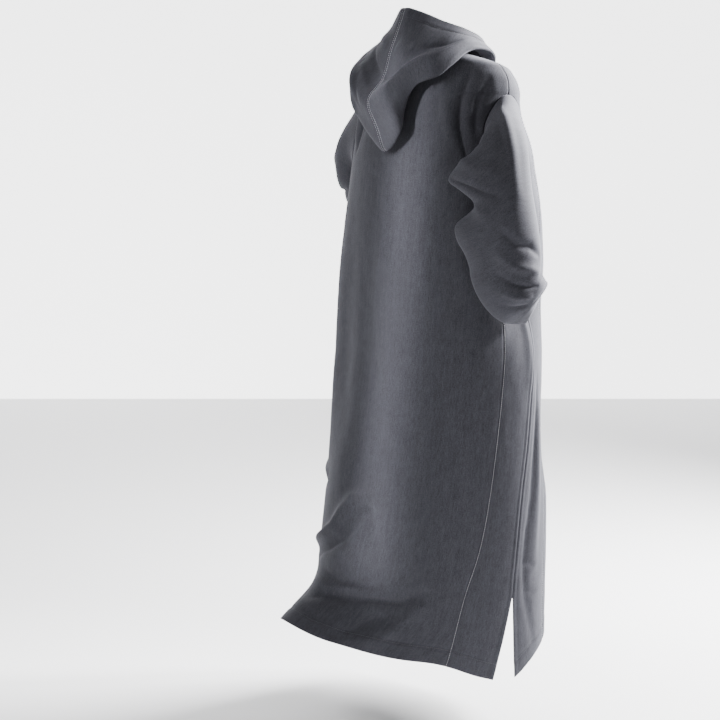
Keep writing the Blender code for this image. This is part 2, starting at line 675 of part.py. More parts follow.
def build():
    for old in list(bpy.data.objects):
        bpy.data.objects.remove(old, do_unlink=True)
    robe = bpy.data.collections.new("Djellaba")
    bpy.context.scene.collection.children.link(robe)

    cloth_panel("back_panel", back_grid(), robe)
    cloth_panel("front_panel", front_grid(), robe)
    for side, seams, mirrored in (("right", SEAMS_RIGHT, False), ("left", SEAMS_LEFT, True)):
        back = gore_grid(seams, "back_gore", -1.0, mirrored)
        front = gore_grid(seams, "front_gore", 1.0, mirrored)
        cloth_panel("gore_back_" + side, back, robe)
        cloth_panel("gore_front_" + side, front, robe)

    right = sleeve_grid(RIGHT_SLEEVE, RIGHT_SLEEVE_ROLL, False)
    left = sleeve_grid(LEFT_SLEEVE, LEFT_SLEEVE_ROLL, True)
    cloth_panel("sleeve_right", right, robe, closed=True)
    cloth_panel("sleeve_left", left, robe, closed=True)

    right = hood_grid(FOLD_RIGHT, FACE_EDGE_RIGHT, 1.0)
    left = hood_grid(FOLD_LEFT, FACE_EDGE_LEFT, -1.0)
    right, left = join_at_centre(right, left)
    cloth_panel("hood_right", right, robe)
    cloth_panel("hood_left", left, robe)


build()
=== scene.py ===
"""A hooded djellaba robe in brushed charcoal fleece, hollow, in the pose in which it is worn.

The origin is the centre of the neck opening. +Z is up, the wearer faces -Y, and the
wearer's right hand is on the -X side. The cloth is made as fine shells on the same
surface as the solids: body_point(turn, level) for the body, cuts for the sleeves, and
edge curves for the hood. turn runs once round the body: 0 is the centre of the back,
0.25 the wearer's right side and 0.5 the centre of the front.
"""
from collections import namedtuple
import math

import bpy
import numpy as np
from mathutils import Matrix, Vector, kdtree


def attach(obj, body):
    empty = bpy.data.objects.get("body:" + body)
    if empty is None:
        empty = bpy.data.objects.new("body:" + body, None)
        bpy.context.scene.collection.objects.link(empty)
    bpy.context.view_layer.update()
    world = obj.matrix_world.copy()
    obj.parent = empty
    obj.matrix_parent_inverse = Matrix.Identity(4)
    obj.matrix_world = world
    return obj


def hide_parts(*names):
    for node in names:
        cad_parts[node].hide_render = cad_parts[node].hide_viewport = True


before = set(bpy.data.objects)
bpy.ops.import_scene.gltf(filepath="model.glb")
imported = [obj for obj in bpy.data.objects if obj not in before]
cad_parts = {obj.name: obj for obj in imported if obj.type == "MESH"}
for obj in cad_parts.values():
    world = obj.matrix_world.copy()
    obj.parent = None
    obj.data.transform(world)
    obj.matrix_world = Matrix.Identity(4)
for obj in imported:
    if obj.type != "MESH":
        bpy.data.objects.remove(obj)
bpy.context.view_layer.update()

# ---------------------------------------------------------------- sizes, metres
CLOTH_THICKNESS = 0.0019
GRID_STEP = 0.0055        # distance between the rows of a panel
HEM_DEPTH = 0.035         # turned hem of the skirt
CUFF_DEPTH = 0.028        # turned hem of the sleeves
HOOD_FACING = 0.022       # turned edge round the face opening
STITCH_LENGTH = 0.0034
STITCH_PITCH = 0.0042
STITCH_THICKNESS = 0.0010
STITCH_UNEVENNESS = 0.14
SEAM_SINK = 0.0011        # how far the cloth is pulled in along a seam
SEAM_ROUND = 0.0040       # over what distance
RIM_ROUND = 0.8           # how far a cut edge bulges, in half thicknesses
SLIT_BAND = 0.009         # width of the stitched band along a slit
SLIT_BAND_RISE = 0.5
TOPSTITCH_IN = 0.0028     # topstitching, in from the seam
CREASE_SHARPNESS = 1.6    # how fast a pinched crease falls off
FOLD_END_POWER = 0.6      # how suddenly a fold starts and ends along its path
DRIFT_WAVES = 7
DRIFT_RANGE = 5.0         # brings the sum of the waves to about -1 to 1
WAVE_SLANT = 0.6          # how much of the way front to back counts across the body
NECK_FADE = 0.06          # folds fade out over this much cloth below the neck
ARMHOLE_FADE = 0.05
HOOD_SEAM_FADE = 0.012
HOOD_NECK_FADE = 0.08     # as a share of the way up a hood half
HEM_EDGE = 0.002          # half the width of the step where a turned hem ends
HEM_PROUD = 0.0009        # how far a turned hem stands out
HEM_GROOVE_DEPTH = 0.0014
HEM_GROOVE_WIDTH = 0.0024
HOOD_HEM_SHARE = 0.6      # the hood's turned edge is this much of a hem
SLIT_BLEND = 0.01
SLIT_BAND_EDGE = 0.002
SLIT_GROOVE_WIDTH = 0.0016
UNDERARM_GROOVE_WIDTH = 0.0025
GORE_TOP_REACH = 0.08     # a gore's rows follow the armhole over this much cloth
EDGE_CROWDING = 0.125     # how much closer a panel's columns stand at its edges
FOLDED_CLEARANCE = 0.005  # least distance from the body to a sleeve with its folds
FOLDED_CLEARANCE_RISE = 0.2
PANEL_FINE_COLUMNS = 110
GORE_FINE_COLUMNS = 26
SLEEVE_FINE_ROWS = 120
SLEEVE_FINE_COLUMNS = 120
SLEEVE_ROUND = 0.42       # metres round a sleeve
SLEEVE_LENGTH = 0.48
HOOD_FINE_ROWS = 130
HOOD_FINE_COLUMNS = 88
HOOD_ACROSS = 0.30
HOOD_UP = 0.42
SKIRT_TOP = -0.31         # the level from which the gore seams run free
WALL = 0.0022             # cloth of the solids, which the hood's foot keeps to
SEAM_GAP = 0.0005        # between two panels along a seam
HEM_LEVEL = -1.385
SLIT_LEVEL = -1.190      # top of the two side slits
SLIT_OPENING = 0.018     # turns that each slit edge has moved away at the hem
NECK_DIP = 0.045         # how much lower the neckline is in front
NECK_POINT = 0.035       # further depth of the plain pointed neck opening
NECK_POINT_WIDTH = 0.080 # in turns
NECK_DIP_POWER = 1.5     # keeps the back of the neckline level
NECK_DIP_END = -0.20     # the level where the drop has faded out
NECK_GAP = 0.0016        # the hood's foot stands this far inside the neck edge
STAND = 0.014            # height of the hood's foot above the neckline
CLEAR_OF_BODY = 0.007    # least distance from the body surface to the sleeves
HOOD_CLEAR = 0.012       # least distance from the body surface to the hood's under layer
FOLD_RADIUS = 0.004      # half the thickness of the hood's lower fold
SEAM_STRIP = 0.005       # narrow strip beside the hood's centre seam
SLEEVE_COLUMNS = 20
SLEEVE_ROWS = 19
HOOD_COLUMNS = 12

# ---------------------------------------------------------------- tables
Ring = namedtuple("Ring", "level right left back front")
BODY_RINGS = (
    Ring(0.000, 0.090, 0.090, 0.085, 0.085),
    Ring(-0.018, 0.165, 0.146, 0.098, 0.095),
    Ring(-0.038, 0.188, 0.178, 0.106, 0.105),
    Ring(-0.070, 0.200, 0.194, 0.116, 0.118),
    Ring(-0.110, 0.198, 0.200, 0.126, 0.130),
    Ring(-0.160, 0.203, 0.208, 0.136, 0.142),
    Ring(-0.220, 0.224, 0.220, 0.145, 0.152),
    Ring(-0.290, 0.244, 0.232, 0.152, 0.162),
    Ring(-0.370, 0.260, 0.243, 0.158, 0.172),
    Ring(-0.470, 0.270, 0.252, 0.166, 0.178),
    Ring(-0.570, 0.266, 0.258, 0.175, 0.165),
    Ring(-0.680, 0.267, 0.261, 0.184, 0.152),
    Ring(-0.800, 0.268, 0.261, 0.192, 0.130),
    Ring(-0.900, 0.269, 0.260, 0.198, 0.148),
    Ring(-1.000, 0.270, 0.258, 0.204, 0.194),
    Ring(-1.100, 0.270, 0.258, 0.211, 0.202),
    Ring(-1.250, 0.269, 0.257, 0.224, 0.200),
    Ring(-1.385, 0.268, 0.256, 0.240, 0.198),
)

# The stride lifts the hem: most over the trailing left heel, a little in front.
HemRise = namedtuple("HemRise", "turn rise")
HEM_RISES = (
    HemRise(0.000, 0.100),
    HemRise(0.050, 0.066),
    HemRise(0.110, 0.045),
    HemRise(0.160, 0.014),
    HemRise(0.205, 0.000),
    HemRise(0.250, 0.036),
    HemRise(0.300, 0.066),
    HemRise(0.370, 0.085),
    HemRise(0.500, 0.100),
    HemRise(0.640, 0.080),
    HemRise(0.750, 0.065),
    HemRise(0.860, 0.098),
    HemRise(0.940, 0.137),
)
HEM_RISE_START = -0.800
HEM_RISE_POWER = 1.5

# The trailing left leg pushes the back of the skirt outwards.
Push = namedtuple("Push", "level reach")
LEG_PUSH = (
    Push(-0.680, 0.000),
    Push(-0.850, 0.020),
    Push(-1.000, 0.042),
    Push(-1.100, 0.050),
    Push(-1.200, 0.060),
    Push(-1.255, 0.064),
    Push(-1.300, 0.084),
    Push(-1.340, 0.125),
    Push(-1.385, 0.172),
)
LEG_TURN = -0.065
LEG_WIDTH = 0.105
LEG_SIDEWAYS = 0.12      # share of the push that goes to the wearer's left

# Each arm presses the body cloth in.
Dent = namedtuple("Dent", "turn level width height depth")
DENTS = (
    Dent(0.225, -0.47, 0.080, 0.13, 0.062),
    Dent(-0.255, -0.30, 0.080, 0.14, 0.010),
)

# The largest folds run down the robe from (turn, level) to (low_turn, low_level). width is
# in turns, and height is how far out (+) or in (-) the cloth stands at its middle.
LongFold = namedtuple("LongFold", "turn level low_turn low_level width height")
LONG_FOLDS = (
    LongFold(-0.030, -0.20, 0.048, -1.30, 0.030, 0.011),
    LongFold(0.062, -0.30, 0.088, -1.20, 0.028, -0.007),
    LongFold(-0.100, -0.30, -0.085, -0.98, 0.024, -0.006),
    LongFold(0.402, -0.75, 0.366, -1.60, 0.020, -0.009),
    LongFold(0.442, -0.85, 0.424, -1.60, 0.022, 0.009),
    LongFold(0.498, -0.90, 0.526, -1.60, 0.020, -0.009),
    LongFold(0.566, -0.82, 0.604, -1.60, 0.024, 0.008),
    LongFold(0.640, -0.65, 0.657, -1.60, 0.020, -0.008),
)

# Seams that run down the skirt on each side, as distances in turns from the centre back.
Seam = namedtuple("Seam", "level back_gore side front_gore")
SEAMS_RIGHT = (
    Seam(-0.262, 0.186, 0.250, 0.310),
    Seam(-0.450, 0.186, 0.251, 0.311),
    Seam(-0.620, 0.183, 0.254, 0.310),
    Seam(-0.740, 0.176, 0.240, 0.305),
    Seam(-0.870, 0.167, 0.229, 0.300),
    Seam(-0.980, 0.158, 0.217, 0.296),
    Seam(-1.100, 0.145, 0.209, 0.293),
    Seam(-1.200, 0.129, 0.204, 0.292),
    Seam(-1.385, 0.112, 0.195, 0.296),
)
SEAMS_LEFT = (
    Seam(-0.262, 0.186, 0.250, 0.310),
    Seam(-0.620, 0.184, 0.250, 0.312),
    Seam(-1.000, 0.170, 0.246, 0.312),
    Seam(-1.385, 0.150, 0.238, 0.312),
)

# Round the armhole: from the shoulder seam down the back, under the arm, up the front.
Armhole = namedtuple("Armhole", "turn level")
ARMHOLE = (
    Armhole(0.229, -0.090),
    Armhole(0.206, -0.098),
    Armhole(0.188, -0.120),
    Armhole(0.171, -0.148),
    Armhole(0.160, -0.182),
    Armhole(0.158, -0.215),
    Armhole(0.167, -0.243),
    Armhole(0.186, -0.262),
    Armhole(0.216, -0.273),
    Armhole(0.250, -0.277),
    Armhole(0.284, -0.273),
    Armhole(0.310, -0.262),
    Armhole(0.324, -0.236),
    Armhole(0.328, -0.198),
    Armhole(0.320, -0.158),
    Armhole(0.297, -0.120),
    Armhole(0.258, -0.096),
)
UNDER_START = 0.4        # where round the armhole the back gore seam meets it
UNDER_END = 0.6          # the same for the front gore seam

# Cross cuts of a sleeve, for the wearer's right arm. heading and dip give the way the
# sleeve runs at the cut, in degrees; the left sleeve is mirrored at the end.
Cut = namedtuple("Cut", "x y z heading dip outer inner tall")
RIGHT_SLEEVE = (
    Cut(-0.247, 0.108, -0.214, 140, 40, 0.058, 0.065, 0.050),
    Cut(-0.262, 0.127, -0.274, 120, 82, 0.064, 0.115, 0.052),
    Cut(-0.272, 0.129, -0.330, 298, 86, 0.066, 0.058, 0.058),
    Cut(-0.275, 0.124, -0.372, 295, 76, 0.068, 0.110, 0.060),
    Cut(-0.277, 0.112, -0.442, 288, 66, 0.068, 0.092, 0.058),
    Cut(-0.288, 0.100, -0.498, 255, 62, 0.060, 0.092, 0.054),
    Cut(-0.300, 0.070, -0.532, 224, 44, 0.052, 0.080, 0.050),
    Cut(-0.300, 0.046, -0.540, 214, 26, 0.042, 0.053, 0.040),
)
LEFT_SLEEVE = (
    Cut(-0.238, -0.008, -0.205, 190, 36, 0.046, 0.098, 0.064),
    Cut(-0.256, -0.048, -0.280, 250, 66, 0.054, 0.058, 0.074),
    Cut(-0.260, -0.106, -0.330, 280, 64, 0.062, 0.054, 0.078),
    Cut(-0.250, -0.148, -0.376, 296, 54, 0.066, 0.056, 0.078),
    Cut(-0.218, -0.184, -0.420, 310, 42, 0.064, 0.052, 0.074),
    Cut(-0.174, -0.212, -0.462, 318, 36, 0.056, 0.046, 0.064),
    Cut(-0.132, -0.232, -0.495, 322, 32, 0.050, 0.044, 0.056),
)
RIGHT_SLEEVE_ROLL = 45.0
LEFT_SLEEVE_ROLL = -4.0
SLEEVE_TOP_GAP = 0.0010
SLEEVE_UNDER_GAP = 0.0016
SLEEVE_UNDER_LIFT = 0.0026
CLEARANCE_RISE = 0.25    # how fast the sleeve leaves the body below the armhole
EASING = 0.5             # evens out the sleeve's first rows, where it turns under the arm
EASED_ROWS = 5
EASING_PASSES = 5

# Curves of the hood. along runs from the throat (0) to the centre back (1) on the face
# edge and the lower fold, from the peak (0) to the face edge (1) on the top seam, and
# from the neck (0) to the peak (1) on the back seam.
Spot = namedtuple("Spot", "along x y z")
HOOD_TOP_SEAM = (
    Spot(0.00, 0.020, 0.166, -0.220),
    Spot(0.20, 0.027, 0.196, -0.147),
    Spot(0.32, 0.032, 0.208, -0.110),
    Spot(0.40, 0.027, 0.202, -0.086),
    Spot(0.50, 0.018, 0.176, -0.066),
    Spot(0.59, 0.014, 0.163, -0.040),
    Spot(0.71, 0.008, 0.160, 0.000),
    Spot(0.84, 0.002, 0.146, 0.040),
    Spot(1.00, 0.000, 0.126, 0.087),
)
HOOD_BACK_SEAM = (
    Spot(0.00, 0.000, 0.088, 0.020),
    Spot(0.25, 0.008, 0.124, -0.040),
    Spot(0.50, 0.016, 0.150, -0.100),
    Spot(0.75, 0.020, 0.158, -0.165),
    Spot(1.00, 0.020, 0.166, -0.220),
)
FACE_EDGE_RIGHT = (
    Spot(0.00, -0.022, -0.104, -0.078),
    Spot(0.20, -0.068, -0.078, -0.034),
    Spot(0.40, -0.106, -0.020, 0.015),
    Spot(0.60, -0.104, 0.042, 0.042),
    Spot(0.78, -0.075, 0.089, 0.060),
    Spot(0.92, -0.030, 0.121, 0.082),
    Spot(1.00, 0.000, 0.126, 0.087),
)
FACE_EDGE_LEFT = (
    Spot(0.00, 0.022, -0.104, -0.078),
    Spot(0.20, 0.068, -0.078, -0.034),
    Spot(0.40, 0.104, -0.020, 0.015),
    Spot(0.60, 0.096, 0.030, 0.040),
    Spot(0.78, 0.062, 0.074, 0.058),
    Spot(0.92, 0.028, 0.110, 0.080),
    Spot(1.00, 0.000, 0.126, 0.087),
)
FOLD_RIGHT = (
    Spot(0.00, -0.026, -0.116, -0.098),
    Spot(0.18, -0.082, -0.088, -0.052),
    Spot(0.34, -0.127, -0.020, -0.004),
    Spot(0.44, -0.124, 0.032, -0.002),
    Spot(0.54, -0.114, 0.088, -0.028),
    Spot(0.62, -0.098, 0.121, -0.053),
    Spot(0.72, -0.048, 0.152, -0.080),
    Spot(0.80, -0.035, 0.164, -0.110),
    Spot(0.88, -0.029, 0.173, -0.150),
    Spot(0.95, -0.022, 0.177, -0.190),
    Spot(1.00, 0.020, 0.166, -0.220),
)
FOLD_LEFT = (
    Spot(0.00, 0.026, -0.116, -0.098),
    Spot(0.18, 0.082, -0.088, -0.052),
    Spot(0.34, 0.130, -0.022, 0.000),
    Spot(0.44, 0.130, 0.040, -0.008),
    Spot(0.54, 0.128, 0.096, -0.044),
    Spot(0.64, 0.124, 0.142, -0.084),
    Spot(0.74, 0.112, 0.172, -0.115),
    Spot(0.84, 0.090, 0.172, -0.152),
    Spot(0.93, 0.054, 0.169, -0.196),
    Spot(1.00, 0.020, 0.166, -0.220),
)
HOOD_THROAT_TURN = 0.455  # where the front end of each half meets the neckline

# Rows of one hood half, from the neck seam over the lower fold to the face edge.
# share is how far the row is along its layer, puff how far it stands off outwards there.
HoodRow = namedtuple("HoodRow", "layer share puff")
HOOD_ROWS = (
    HoodRow("under", 0.00, 0.000),
    HoodRow("under", 0.25, 0.000),
    HoodRow("under", 0.50, 0.000),
    HoodRow("under", 0.72, 0.000),
    HoodRow("under", 0.88, 0.000),
    HoodRow("under", 1.00, 0.000),
    HoodRow("fold", 0.00, 0.000),
    HoodRow("outer", 0.00, 0.000),
    HoodRow("outer", 0.12, 0.008),
    HoodRow("outer", 0.30, 0.013),
    HoodRow("outer", 0.50, 0.013),
    HoodRow("outer", 0.70, 0.009),
    HoodRow("outer", 0.88, 0.003),
    HoodRow("outer", 1.00, 0.000),
)
FULL_PUFF_LENGTH = 0.12  # layers shorter than this puff out less
PUFF_END_POWER = 6       # the puff keeps its size until close to the centre seam
COLUMN_POWER = 0.85      # crowds the hood's columns a little towards the centre seam
SEAM_PULL_POWER = 2.5    # how late along a layer the centre seam's curve takes hold
OUTER_CHECK_SHARE = 0.3  # where on each layer the way across the lower fold is taken
UNDER_CHECK_SHARE = 0.7
FOLD_LENGTH_SHARE = 0.3  # a short hood layer folds over at most this part of its length

# ---------------------------------------------------------------- folds
# A fold runs along a path on a piece. height is above (+) or below (-) the cloth, width
# is its half width, and crisp from 0, a soft roll, to 1, a pinched crease.
Fold = namedtuple("Fold", "height width crisp path")
BODY_FOLDS = (
    # upper back, wearer's right: cloth pulled from the shoulder down into the armhole
    Fold(-0.0120, 0.0085, 1.0, ((0.133, -0.030), (0.115, -0.090), (0.112, -0.130), (0.113, -0.175),
                                (0.118, -0.225), (0.128, -0.262))),
    Fold(0.0040, 0.0170, 0.1, ((0.150, -0.070), (0.134, -0.120), (0.131, -0.165), (0.134, -0.215))),
    Fold(-0.0040, 0.0110, 0.2, ((0.178, -0.055), (0.152, -0.095), (0.146, -0.140),
                                (0.142, -0.190))),
    Fold(0.0045, 0.0130, 0.1, ((0.078, -0.060), (0.085, -0.115), (0.094, -0.165), (0.102, -0.215))),
    Fold(-0.0035, 0.0110, 0.3, ((0.062, -0.050), (0.066, -0.110), (0.080, -0.180))),
    Fold(-0.0030, 0.0180, 0.0, ((0.120, -0.270), (0.135, -0.330), (0.150, -0.420))),
    # the same on the wearer's left, softer
    Fold(-0.0085, 0.0080, 0.7, ((-0.140, -0.050), (-0.118, -0.100), (-0.114, -0.160),
                                (-0.125, -0.235))),
    Fold(0.0060, 0.0180, 0.1, ((-0.158, -0.080), (-0.140, -0.140), (-0.138, -0.215))),
    Fold(-0.0040, 0.0120, 0.2, ((-0.085, -0.060), (-0.090, -0.130), (-0.105, -0.200))),
    # soft rolls down the back
    Fold(0.0040, 0.0280, 0.0, ((-0.150, -0.420), (-0.140, -0.700), (-0.130, -0.960))),
    Fold(0.0040, 0.0300, 0.0, ((0.125, -0.560), (0.122, -0.760), (0.112, -1.000))),
    # the trailing calf: a ridge from the side, the bulge under it, and the folds above the hem
    Fold(0.0180, 0.0145, 0.3, ((-0.145, -1.180), (-0.110, -1.160), (-0.078, -1.138),
                               (-0.056, -1.105),
                               (-0.042, -1.055), (-0.026, -1.010), (0.000, -0.985),
                               (0.022, -0.992))),
    Fold(-0.0160, 0.0140, 0.2, ((-0.112, -1.215), (-0.066, -1.180), (-0.034, -1.135),
                                (-0.018, -1.075),
                                (-0.004, -1.035), (0.016, -1.030))),
    Fold(0.0120, 0.0300, 0.0, ((-0.014, -1.050), (-0.030, -1.150), (-0.048, -1.250))),
    Fold(-0.0080, 0.0100, 0.5, ((-0.006, -1.005), (0.004, -1.060), (0.010, -1.130))),
    Fold(-0.0120, 0.0110, 0.4, ((-0.098, -1.318), (-0.062, -1.318), (-0.025, -1.292),
                                (0.012, -1.268),
                                (0.050, -1.250), (0.082, -1.205))),
    Fold(0.0100, 0.0150, 0.1, ((-0.090, -1.285), (-0.045, -1.288), (-0.010, -1.262),
                               (0.030, -1.240))),
    Fold(0.0080, 0.0150, 0.1, ((0.022, -1.375), (0.050, -1.315), (0.074, -1.240))),
    Fold(-0.0060, 0.0120, 0.2, ((-0.004, -1.380), (0.016, -1.330), (0.034, -1.290))),
    Fold(-0.0070, 0.0100, 0.4, ((-0.165, -0.985), (-0.135, -1.000), (-0.105, -1.008))),
    Fold(0.0060, 0.0120, 0.2, ((-0.170, -0.950), (-0.135, -0.968), (-0.110, -0.978))),
    # wearer's right side and front gore
    Fold(-0.0055, 0.0085, 0.5, ((0.262, -0.700), (0.252, -0.860), (0.243, -0.985), (0.231, -1.060),
                                (0.226, -1.130), (0.230, -1.210), (0.246, -1.300),
                                (0.256, -1.372))),
    Fold(0.0050, 0.0140, 0.1, ((0.276, -0.760), (0.266, -0.900), (0.256, -1.040), (0.250, -1.180))),
    Fold(-0.0040, 0.0070, 0.6, ((0.222, -1.120), (0.240, -1.142), (0.256, -1.150))),
    Fold(-0.0035, 0.0070, 0.6, ((0.226, -1.190), (0.244, -1.215), (0.262, -1.222))),
    Fold(0.0045, 0.0140, 0.1, ((0.236, -0.480), (0.243, -0.620), (0.238, -0.740))),
    # front: drape from the chest, the leading knee, and soft rolls to the hem
    Fold(-0.0060, 0.0160, 0.2, ((0.470, -0.140), (0.462, -0.280), (0.455, -0.420))),
    Fold(0.0060, 0.0200, 0.1, ((0.430, -0.120), (0.425, -0.300), (0.418, -0.500))),
    Fold(-0.0050, 0.0180, 0.1, ((0.540, -0.150), (0.550, -0.330), (0.556, -0.520))),
    Fold(0.0050, 0.0220, 0.0, ((0.585, -0.130), (0.590, -0.320), (0.580, -0.560))),
    Fold(0.0060, 0.0250, 0.0, ((0.500, -0.420), (0.505, -0.620), (0.500, -0.820))),
    Fold(-0.0060, 0.0100, 0.5, ((0.352, -0.110), (0.366, -0.170), (0.372, -0.240))),
    Fold(0.0060, 0.0160, 0.1, ((0.372, -0.100), (0.388, -0.180), (0.396, -0.260))),
    Fold(-0.0060, 0.0100, 0.5, ((0.655, -0.110), (0.636, -0.180), (0.630, -0.250))),
    # wearer's left side
    Fold(0.0050, 0.0180, 0.1, ((-0.230, -0.520), (-0.226, -0.720), (-0.222, -0.960))),
    Fold(-0.0060, 0.0160, 0.2, ((-0.205, -0.620), (-0.198, -0.860), (-0.190, -1.120),
                                (-0.186, -1.350))),
    Fold(0.0060, 0.0200, 0.1, ((-0.265, -0.760), (-0.262, -1.000), (-0.268, -1.300))),
)
# On a sleeve the path is (around, along): around is 0 at the top of the armhole and runs
# by the back to the underarm, and along is 0 at the armhole and 1 at the cuff.
RIGHT_SLEEVE_FOLDS = (
    Fold(-0.0090, 0.0080, 0.7, ((0.330, 0.360), (0.250, 0.390), (0.170, 0.430), (0.090, 0.440))),
    Fold(0.0080, 0.0110, 0.3, ((0.340, 0.270), (0.260, 0.300), (0.180, 0.340), (0.110, 0.350))),
    Fold(0.0075, 0.0120, 0.3, ((0.330, 0.480), (0.230, 0.500), (0.140, 0.530))),
    Fold(-0.0060, 0.0090, 0.5, ((0.350, 0.160), (0.290, 0.200), (0.200, 0.220))),
    Fold(-0.0040, 0.0090, 0.3, ((0.200, 0.020), (0.150, 0.090), (0.090, 0.180), (0.060, 0.280))),
    Fold(0.0050, 0.0140, 0.1, ((0.080, 0.050), (0.040, 0.160), (0.010, 0.300), (0.000, 0.460))),
    Fold(-0.0080, 0.0090, 0.5, ((0.120, 0.560), (0.040, 0.620), (0.960, 0.640), (0.880, 0.700))),
    Fold(0.0080, 0.0110, 0.3, ((0.140, 0.640), (0.060, 0.700), (0.980, 0.730), (0.900, 0.780))),
    Fold(-0.0080, 0.0080, 0.6, ((0.160, 0.730), (0.080, 0.780), (0.000, 0.820), (0.930, 0.850))),
    Fold(0.0060, 0.0090, 0.3, ((0.160, 0.800), (0.080, 0.850), (0.000, 0.880))),
    Fold(-0.0060, 0.0080, 0.6, ((0.200, 0.860), (0.120, 0.900), (0.040, 0.930))),
    Fold(-0.0050, 0.0100, 0.4, ((0.600, 0.400), (0.680, 0.430), (0.760, 0.440))),
    Fold(0.0050, 0.0120, 0.2, ((0.620, 0.480), (0.700, 0.510), (0.780, 0.500))),
)
LEFT_SLEEVE_FOLDS = (
    Fold(-0.0080, 0.0090, 0.6, ((0.150, 0.150), (0.080, 0.200), (0.990, 0.240), (0.900, 0.250))),
    Fold(0.0070, 0.0110, 0.3, ((0.180, 0.200), (0.090, 0.260), (0.000, 0.300), (0.920, 0.310))),
    Fold(-0.0080, 0.0090, 0.6, ((0.300, 0.330), (0.200, 0.370), (0.100, 0.380), (0.020, 0.360))),
    Fold(0.0060, 0.0120, 0.2, ((0.280, 0.400), (0.180, 0.440), (0.080, 0.450))),
    Fold(-0.0070, 0.0090, 0.6, ((0.520, 0.420), (0.600, 0.460), (0.700, 0.470))),
    Fold(0.0060, 0.0120, 0.2, ((0.540, 0.500), (0.630, 0.540), (0.740, 0.540))),
    Fold(-0.0060, 0.0100, 0.4, ((0.480, 0.560), (0.580, 0.600), (0.680, 0.620))),
    Fold(-0.0050, 0.0100, 0.4, ((0.100, 0.560), (0.020, 0.660), (0.960, 0.760))),
    Fold(0.0050, 0.0120, 0.2, ((0.200, 0.600), (0.130, 0.720), (0.080, 0.840))),
    Fold(-0.0050, 0.0090, 0.5, ((0.300, 0.780), (0.200, 0.820), (0.110, 0.840))),
)
# On a hood half the path is (along, up): along is 0 at the throat and 1 at the centre
# seam, and up is 0 at the neck seam, about 0.5 at the lower fold and 1 at the face edge.
RIGHT_HOOD_FOLDS = (
    Fold(-0.0080, 0.0080, 0.4, ((0.990, 0.760), (0.930, 0.745), (0.860, 0.715), (0.800, 0.680))),
    Fold(0.0060, 0.0090, 0.2, ((0.995, 0.690), (0.940, 0.680), (0.870, 0.660))),
    Fold(0.0055, 0.0120, 0.1, ((0.960, 0.860), (0.900, 0.840), (0.840, 0.820))),
    Fold(-0.0035, 0.0100, 0.2, ((0.780, 0.800), (0.660, 0.780), (0.540, 0.800))),
)
LEFT_HOOD_FOLDS = (
    Fold(-0.0090, 0.0080, 0.4, ((0.990, 0.760), (0.930, 0.770), (0.860, 0.790), (0.780, 0.830))),
    Fold(0.0070, 0.0100, 0.2, ((0.995, 0.690), (0.930, 0.700), (0.850, 0.720), (0.760, 0.740))),
    Fold(0.0050, 0.0120, 0.1, ((0.960, 0.860), (0.890, 0.880), (0.800, 0.900))),
    Fold(-0.0040, 0.0100, 0.3, ((0.900, 0.600), (0.860, 0.660), (0.820, 0.700))),
)


def fold_relief(folds, across, down, metres_across, metres_down, wraps=False):
    """Height of all folds at points given by the two numbers that their paths use."""
    relief = np.zeros(across.shape)
    for fold in folds:
        path = np.array(fold.path, float)
        if wraps:
            path[:, 0] = np.unwrap(path[:, 0], period=1.0)
        nearest = np.full(across.shape, 1e9)
        place = np.zeros(across.shape)
        lengths = []
        for a, b in zip(path[:-1], path[1:]):
            lengths.append(math.hypot((b[0] - a[0]) * metres_across, (b[1] - a[1]) * metres_down))
        total = sum(lengths)
        done = 0.0
        for a, b, length in zip(path[:-1], path[1:], lengths):
            offset = across - a[0]
            if wraps:
                offset = (offset + 0.5) % 1.0 - 0.5
            x = offset * metres_across
            y = (down - a[1]) * metres_down
            dx = (b[0] - a[0]) * metres_across / length
            dy = (b[1] - a[1]) * metres_down / length
            run = np.clip(x * dx + y * dy, 0.0, length)
            distance = np.hypot(x - run * dx, y - run * dy)
            closer = distance < nearest
            nearest = np.where(closer, distance, nearest)
            place = np.where(closer, (done + run) / total, place)
            done += length
        soft = np.exp(-(nearest / fold.width) ** 2)
        crisp = np.exp(-CREASE_SHARPNESS * nearest / fold.width)
        ends = np.clip(np.sin(np.pi * np.clip(place, 0.0, 1.0)), 0.0, 1.0) ** FOLD_END_POWER
        relief += fold.height * ends * (fold.crisp * crisp + (1.0 - fold.crisp) * soft)
    return relief


Waviness = namedtuple("Waviness", "height across down seed")
BODY_WAVES = Waviness(0.0016, 0.17, 0.44, 4)
BODY_RIPPLES = Waviness(0.0005, 0.045, 0.12, 9)
SLEEVE_WAVES = Waviness(0.0012, 0.10, 0.12, 21)
HOOD_WAVES = Waviness(0.0010, 0.09, 0.10, 33)


def waves(across, down, kind):
    """Slow, even waviness of cloth, from a few sines of unlike lengths."""
    random = np.random.default_rng(kind.seed)
    total = np.zeros(np.broadcast(across, down).shape)
    for _ in range(DRIFT_WAVES):
        turn = random.uniform(-0.6, 0.6)
        stretch = random.uniform(0.6, 1.9)
        phase = random.uniform(0.0, 2.0 * np.pi)
        a = across / kind.across * math.cos(turn) + down / kind.down * math.sin(turn)
        b = down / kind.down * math.cos(turn)
        total += np.sin(2.0 * np.pi * stretch * a + phase) * np.cos(np.pi * stretch * b + phase)
    return kind.height * (total / DRIFT_RANGE)


# ---------------------------------------------------------------- curves
def column(rows, name):
    return np.array([getattr(row, name) for row in rows])


